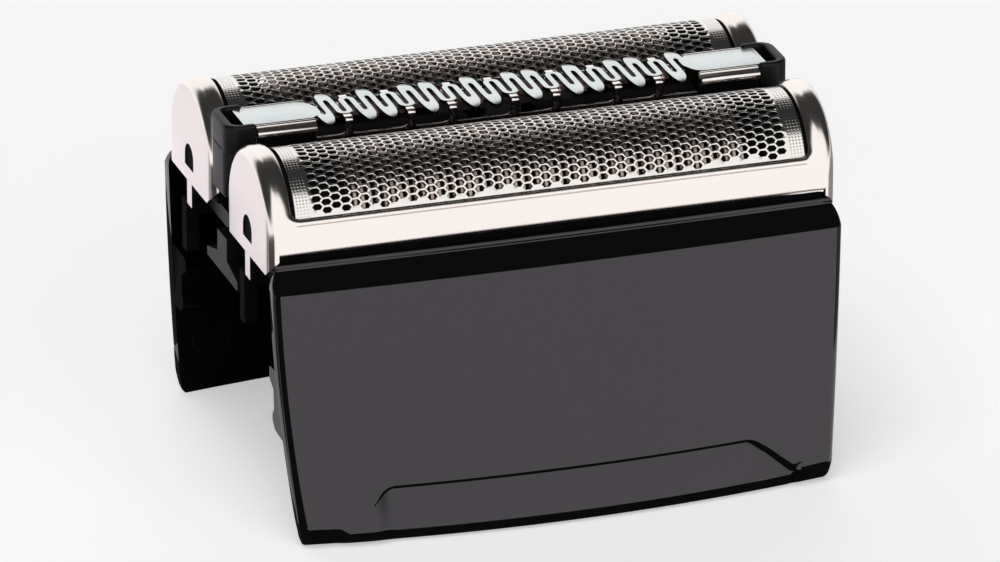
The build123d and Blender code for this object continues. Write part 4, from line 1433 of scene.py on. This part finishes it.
class FOILHEAD_OT_springs(bpy.types.Operator):
    """Builds the trimmer's coil springs and the foils' leaf springs"""

    bl_idname = "foil_head.springs"
    bl_label = "Springs"
    bl_options = {"REGISTER", "UNDO"}

    def execute(self, context):
        for end in ("left", "right"):
            self.coil(end)
            for side in HEADS:
                self.leaf(side, end)
        return {"FINISHED"}

    def coil(self, end):
        """Adds a coil spring under one end of the trimmer, with closed flat ends."""
        node_name = f"trimmer_{end}_spring"
        low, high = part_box(node_name)
        x = (low.x + high.x) / 2 / MM
        wire = sizes().coil_wire / MM / 2
        radius = (high.y - low.y) / 2 / MM - wire
        bottom = low.z / MM + wire
        rise = (high.z - low.z) / MM - 2 * wire
        section = [(wire * cos(t), wire * sin(t)) for t in spread(0, 2 * pi, 11)[:-1]]
        path = []
        for share in spread(0, 1, 145):
            turn = 2 * pi * COIL_TURNS * share
            climb = min(max((share - COIL_FLAT) / (1 - 2 * COIL_FLAT), 0.0), 1.0)
            out = (cos(turn), sin(turn), 0)
            spot = (x + radius * out[0], radius * out[1], bottom + rise * climb)
            path.append((spot, out, (0, 0, 1)))
        bm = bmesh.new()
        add_tube(bm, path, section)
        name = f"trimmer_{end}_coil"
        piece = place_piece(bm, name, "Phosphor bronze", "base", (node_name,), 60)
        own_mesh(piece)

    def leaf(self, side, end):
        """Adds a zigzag leaf spring under one end of a foil's carrier."""
        node_name = f"{side}_{end}_leaf_spring"
        low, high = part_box(node_name)
        x0, x1 = low.x / MM, high.x / MM
        y0, y1 = low.y / MM, high.y / MM
        z0, z1 = low.z / MM, high.z / MM
        half = LEAF_SHEET / 2
        near, far = (x0 + half, x1 - half) if end == "right" else (x1 - half, x0 + half)
        middle = (z0 + z1) / 2
        corners = [(near, z0 + half), (far, z0 + half), (near, middle), (far, z1 - half), (near, z1 - half)]
        line = [Vector(corners[0])]
        for a, b, c in zip(corners, corners[1:], corners[2:]):
            a, b, c = Vector(a), Vector(b), Vector(c)
            start = b + (a - b).normalized() * LEAF_BEND
            stop = b + (c - b).normalized() * LEAF_BEND
            for t in spread(0, 1, 7):
                line.append(start * (1 - t) ** 2 + b * 2 * t * (1 - t) + stop * t * t)
        line.append(Vector(corners[-1]))
        path = []
        for i, spot in enumerate(line):
            along = (line[min(i + 1, len(line) - 1)] - line[max(i - 1, 0)]).normalized()
            path.append(((spot.x, (y0 + y1) / 2, spot.y), (0, 1, 0), (-along.y, 0, along.x)))
        section = rounded_box(y1 - y0, LEAF_SHEET, LEAF_CORNER, 2)
        bm = bmesh.new()
        add_tube(bm, path, section)
        name = f"{side}_{end}_leaf"
        piece = place_piece(bm, name, "Phosphor bronze", "base", (node_name,), 40)
        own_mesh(piece)


class FOILHEAD_OT_mouldings(bpy.types.Operator):
    """Gives the deck, carriers, cutter holders, trimmer blade and drive shoe their finishes and soft edges"""

    bl_idname = "foil_head.mouldings"
    bl_label = "Inner Mouldings"
    bl_options = {"REGISTER", "UNDO"}

    def execute(self, context):
        finishes = {
            "chassis": "Satin black nylon",
            "trimmer_drive_shoe": "Satin grey POM",
            "trimmer_blade": "Hardened blade steel",
        }
        for side in HEADS:
            finishes[f"{side}_foil_carrier"] = "Matt black nylon"
            finishes[f"{side}_cutter_holder"] = "Satin grey POM"
        for name, finish in finishes.items():
            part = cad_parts[name]
            part.data.materials.clear()
            part.data.materials.append(material(finish))
            flats = part.modifiers.new("Flats", "DECIMATE")
            flats.decimate_type = "DISSOLVE"
            flats.angle_limit = radians(1)
            rounding = part.modifiers.new("Rounding", "BEVEL")
            rounding.width = (BLADE_ROUND if name == "trimmer_blade" else MOULDING_ROUND) * MM
            rounding.segments = 2
            rounding.limit_method = "ANGLE"
            rounding.angle_limit = radians(40)
            part.modifiers.new("Shading", "WEIGHTED_NORMAL")
        return {"FINISHED"}


class FOILHEAD_OT_stage(bpy.types.Operator):
    """Builds the studio: a pale floor, reflecting cards, a sky of soft light, a lamp and the camera"""

    bl_idname = "foil_head.stage"
    bl_label = "Studio Stage"
    bl_options = {"REGISTER", "UNDO"}

    def execute(self, context):
        context.scene.view_settings.view_transform = "Standard"
        self.floor()
        self.cards()
        self.sky(context.scene)
        self.lamp()
        self.camera(context.scene)
        return {"FINISHED"}

    def add_board(self, name, outline, height, paint):
        """Adds a flat board of the stage, given by its outline in millimetres."""
        bm = bmesh.new()
        bm.faces.new([bm.verts.new((x * MM, y * MM, height * MM)) for x, y in outline])
        mesh = bpy.data.meshes.new(name)
        bm.to_mesh(mesh)
        bm.free()
        mesh.materials.append(paint)
        piece = bpy.data.objects.new(name, mesh)
        bpy.context.scene.collection.objects.link(piece)
        return piece

    def floor(self):
        """A matt white board. Mirrors see it as the plain white of the background."""
        paint, tree, shader = new_material("White studio board")
        path = node(tree, "ShaderNodeLightPath").outputs
        lift = node(tree, "ShaderNodeMath", {0: path["Is Camera Ray"], 1: FLOOR_LIFT}, operation="MULTIPLY")
        values = {"Base Color": colours()["floor"], "Roughness": 0.9, "Specular IOR Level": 0.0}
        values.update({"Emission Color": (1, 1, 1, 1), "Emission Strength": lift.outputs["Value"]})
        set_inputs(shader, tree, values)
        inputs = {0: path["Is Glossy Ray"], 1: path["Is Transmission Ray"]}
        mirrored_ray = node(tree, "ShaderNodeMath", inputs, operation="MAXIMUM").outputs["Value"]
        plain = node(tree, "ShaderNodeEmission", {"Color": (1, 1, 1, 1), "Strength": 1.0}).outputs["Emission"]
        mix = node(tree, "ShaderNodeMixShader", {0: mirrored_ray, 1: shader.outputs["BSDF"], 2: plain})
        tree.links.new(mix.outputs["Shader"], tree.nodes["Material Output"].inputs["Surface"])
        side = FLOOR_HALF
        self.add_board("studio_floor", [(-side, -side), (side, -side), (side, side), (-side, side)], 0, paint)

    def cards(self):
        """Cards on the floor that only reflections see: a black sheet round the foot that paints the shadow
        there into reflections, paler cards beside it.
        """
        shadow_sheet, tree, shader = new_material("Black shadow sheet")
        # A dark sheet that stands for the shadow round the foot: it takes in most of the light, and a bump of
        # noise about 0.5 mm across breaks up its surface
        place = node(tree, "ShaderNodeTexCoord").outputs["Object"]
        fibres = node(tree, "ShaderNodeTexNoise", {"Vector": place, "Scale": 1 / (0.5 * MM)}).outputs["Fac"]
        bump = node(tree, "ShaderNodeBump", {"Height": fibres, "Strength": 0.3, "Distance": 0.2 * MM})
        values = {"Base Color": (*srgb("#4a474b"), 1.0), "Roughness": 1.0, "Specular IOR Level": 0.0}
        set_inputs(shader, tree, {**values, "Normal": bump.outputs["Normal"]})
        foot = [(-24.5, -14), (-110, 5), (-110, -130), (-24.5, -32.5)]
        foot += [(-24.5, -23), (0, -26.5), (26, -23), (26, 25), (-24.5, 25)]
        pieces = [self.add_board("studio_shadow_sheet", foot, 0.05, shadow_sheet)]
        corner = [(-24.5, 25), (-35, 25), (-35, 60), (-24.5, 60)]
        pieces.append(self.add_board("studio_shadow_sheet_corner", corner, 0.06, shadow_sheet))
        grey = self.card_paint("Grey card", "#aba8ab", None)
        beside = [(-24.5, -13), (-36, -10), (-36, 25), (-24.5, 25)]
        pieces.append(self.add_board("studio_grey_card", beside, 0.08, grey))
        # Rose white that the end faces pick up, fading away towards the front
        pink = self.card_paint("Pale pink card", "#f1ecf2", (5.0, 46.0))
        behind = [(-36, -8), (-110, 8), (-220, 24), (-220, 130), (-36, 130)]
        pieces.append(self.add_board("studio_pink_card", behind, 0.07, pink))
        # The right-hand rims turn grey over a darker board
        shade = self.card_paint("Dark grey card", "#8d8688", None)
        right = [(58, -48), (300, -120), (300, 260), (58, 120)]
        pieces.append(self.add_board("studio_right_card", right, 0.05, shade))
        for piece in pieces:
            for kind in ("camera", "diffuse", "shadow", "transmission", "volume_scatter"):
                setattr(piece, f"visible_{kind}", False)

    def card_paint(self, name, text, fade):
        """A glowing card. fade gives the two y in millimetres between which it grows from dim to bright."""
        card, tree, shader = new_material(name)
        level = 1.0
        if fade:
            place = node(tree, "ShaderNodeTexCoord").outputs["Object"]
            depth = node(tree, "ShaderNodeSeparateXYZ", {"Vector": place}).outputs["Y"]
            limits = {"From Min": fade[0] * MM, "From Max": fade[1] * MM, "To Min": 0.12, "To Max": 1.0}
            inputs = {"Value": depth, **limits}
            ramp = node(tree, "ShaderNodeMapRange", inputs, interpolation_type="SMOOTHSTEP")
            level = ramp.outputs["Result"]
        glow = {"Emission Color": (*srgb(text), 1.0), "Emission Strength": level}
        set_inputs(shader, tree, {"Base Color": (0, 0, 0, 1), "Specular IOR Level": 0.0, **glow})
        return card

    def sky(self, scene):
        """White tents in front and behind, and a dark strip overhead that runs from side to side."""
        world = bpy.data.worlds.new("Studio tents")
        world.use_nodes = True
        scene.world = world
        tree = world.node_tree
        tree.nodes.clear()
        way = node(tree, "ShaderNodeTexCoord").outputs["Generated"]
        axes = node(tree, "ShaderNodeSeparateXYZ", {"Vector": way}).outputs
        aside = node(tree, "ShaderNodeMath", {0: axes["X"]}, operation="ABSOLUTE").outputs["Value"]
        depth = node(tree, "ShaderNodeMath", {0: axes["Y"]}, operation="ABSOLUTE").outputs["Value"]
        inputs = {0: aside, 1: -STRIP_TAPER * STRIP_SLOPE, 2: STRIP_SLOPE}
        slope = node(tree, "ShaderNodeMath", inputs, operation="MULTIPLY_ADD").outputs["Value"]
        edge = node(tree, "ShaderNodeMath", {0: depth, 1: slope}, operation="MULTIPLY").outputs["Value"]
        over = node(tree, "ShaderNodeMath", {0: axes["Z"], 1: edge}, operation="SUBTRACT").outputs["Value"]
        # Towards both sides the strip's edge grows soft and the tents grow dim
        inputs = {0: aside, 1: -STRIP_SOFTNESS, 2: STRIP_EDGES[0]}
        start = node(tree, "ShaderNodeMath", inputs, operation="MULTIPLY_ADD").outputs["Value"]
        limits = {"From Min": SIDE_START, "To Min": 1.0, "To Max": 1 - SIDE_SHADE}
        tent = node(tree, "ShaderNodeMapRange", {"Value": aside, **limits}).outputs["Result"]
        limits = {"From Min": start, "From Max": STRIP_EDGES[1], "To Min": tent, "To Max": STRIP_LEVEL}
        ramp = node(tree, "ShaderNodeMapRange", {"Value": over, **limits}, interpolation_type="SMOOTHSTEP")
        camera = node(tree, "ShaderNodeLightPath").outputs["Is Camera Ray"]
        inputs = {0: ramp.outputs["Result"], 1: camera}
        level = node(tree, "ShaderNodeMath", inputs, operation="MAXIMUM").outputs["Value"]
        background = node(tree, "ShaderNodeBackground", {"Color": (1, 1, 1, 1), "Strength": level})
        node(tree, "ShaderNodeOutputWorld", {"Surface": background.outputs["Background"]})

    def lamp(self):
        """A large soft lamp above on the left, kept out of reflections."""
        lamp = bpy.data.lights.new("Soft lamp", "AREA")
        lamp.shape = "DISK"
        lamp.size = LAMP_SIZE * MM
        lamp.energy = LAMP_POWER
        piece = bpy.data.objects.new("Soft lamp", lamp)
        piece.location = Vector(LAMP_PLACE) * MM
        piece.rotation_euler = Vector(piece.location).to_track_quat("Z", "Y").to_euler()
        piece.visible_glossy = False
        bpy.context.scene.collection.objects.link(piece)

    def camera(self, scene):
        """The camera at the photograph's angle, with a long lens."""
        camera = bpy.data.cameras.new("Camera")
        camera.sensor_width = 36.0
        camera.lens = CAMERA_LENS
        piece = bpy.data.objects.new("Camera", camera)
        turn = radians(CAMERA_AZIMUTH)
        rise = radians(CAMERA_ELEVATION)
        back = Vector((sin(turn) * cos(rise), -cos(turn) * cos(rise), sin(rise)))
        piece.location = (Vector(CAMERA_TARGET) + back * CAMERA_DISTANCE) * MM
        piece.rotation_euler = back.to_track_quat("Z", "Y").to_euler()
        scene.collection.objects.link(piece)
        scene.camera = piece


OPERATORS = (
    FOILHEAD_OT_stage,
    FOILHEAD_OT_covers,
    FOILHEAD_OT_mouldings,
    FOILHEAD_OT_springs,
    FOILHEAD_OT_cutters,
    FOILHEAD_OT_foils,
    FOILHEAD_OT_frames,
    FOILHEAD_OT_body,
    FOILHEAD_OT_rails,
    FOILHEAD_OT_clips,
    FOILHEAD_OT_comb,
)


class FOILHEAD_PT_panel(bpy.types.Panel):
    """Lists the operators, sizes and colours of the foil head"""

    bl_idname = "FOILHEAD_PT_panel"
    bl_label = "Foil Head"
    bl_space_type = "VIEW_3D"
    bl_region_type = "UI"
    bl_category = "Foil Head"

    def draw(self, context):
        layout = self.layout
        for operator in OPERATORS:
            layout.operator(operator.bl_idname)
        for group in (context.scene.foil_head_sizes, context.scene.foil_head_colours):
            box = layout.box()
            for name in type(group).__annotations__:
                box.prop(group, name)


CLASSES = (FoilHeadSizes, FoilHeadColours, *OPERATORS, FOILHEAD_PT_panel)


def register():
    for cls in CLASSES:
        bpy.utils.register_class(cls)
    bpy.types.Scene.foil_head_sizes = PointerProperty(type=FoilHeadSizes)
    bpy.types.Scene.foil_head_colours = PointerProperty(type=FoilHeadColours)


def unregister():
    del bpy.types.Scene.foil_head_colours
    del bpy.types.Scene.foil_head_sizes
    for cls in reversed(CLASSES):
        bpy.utils.unregister_class(cls)


def main():
    register()
    bpy.ops.foil_head.stage()
    bpy.ops.foil_head.covers()
    bpy.ops.foil_head.mouldings()
    bpy.ops.foil_head.springs()
    bpy.ops.foil_head.cutters()
    bpy.ops.foil_head.foils()
    bpy.ops.foil_head.frames()
    bpy.ops.foil_head.body()
    bpy.ops.foil_head.rails()
    bpy.ops.foil_head.clips()
    bpy.ops.foil_head.comb()


if __name__ == "__main__":
    main()
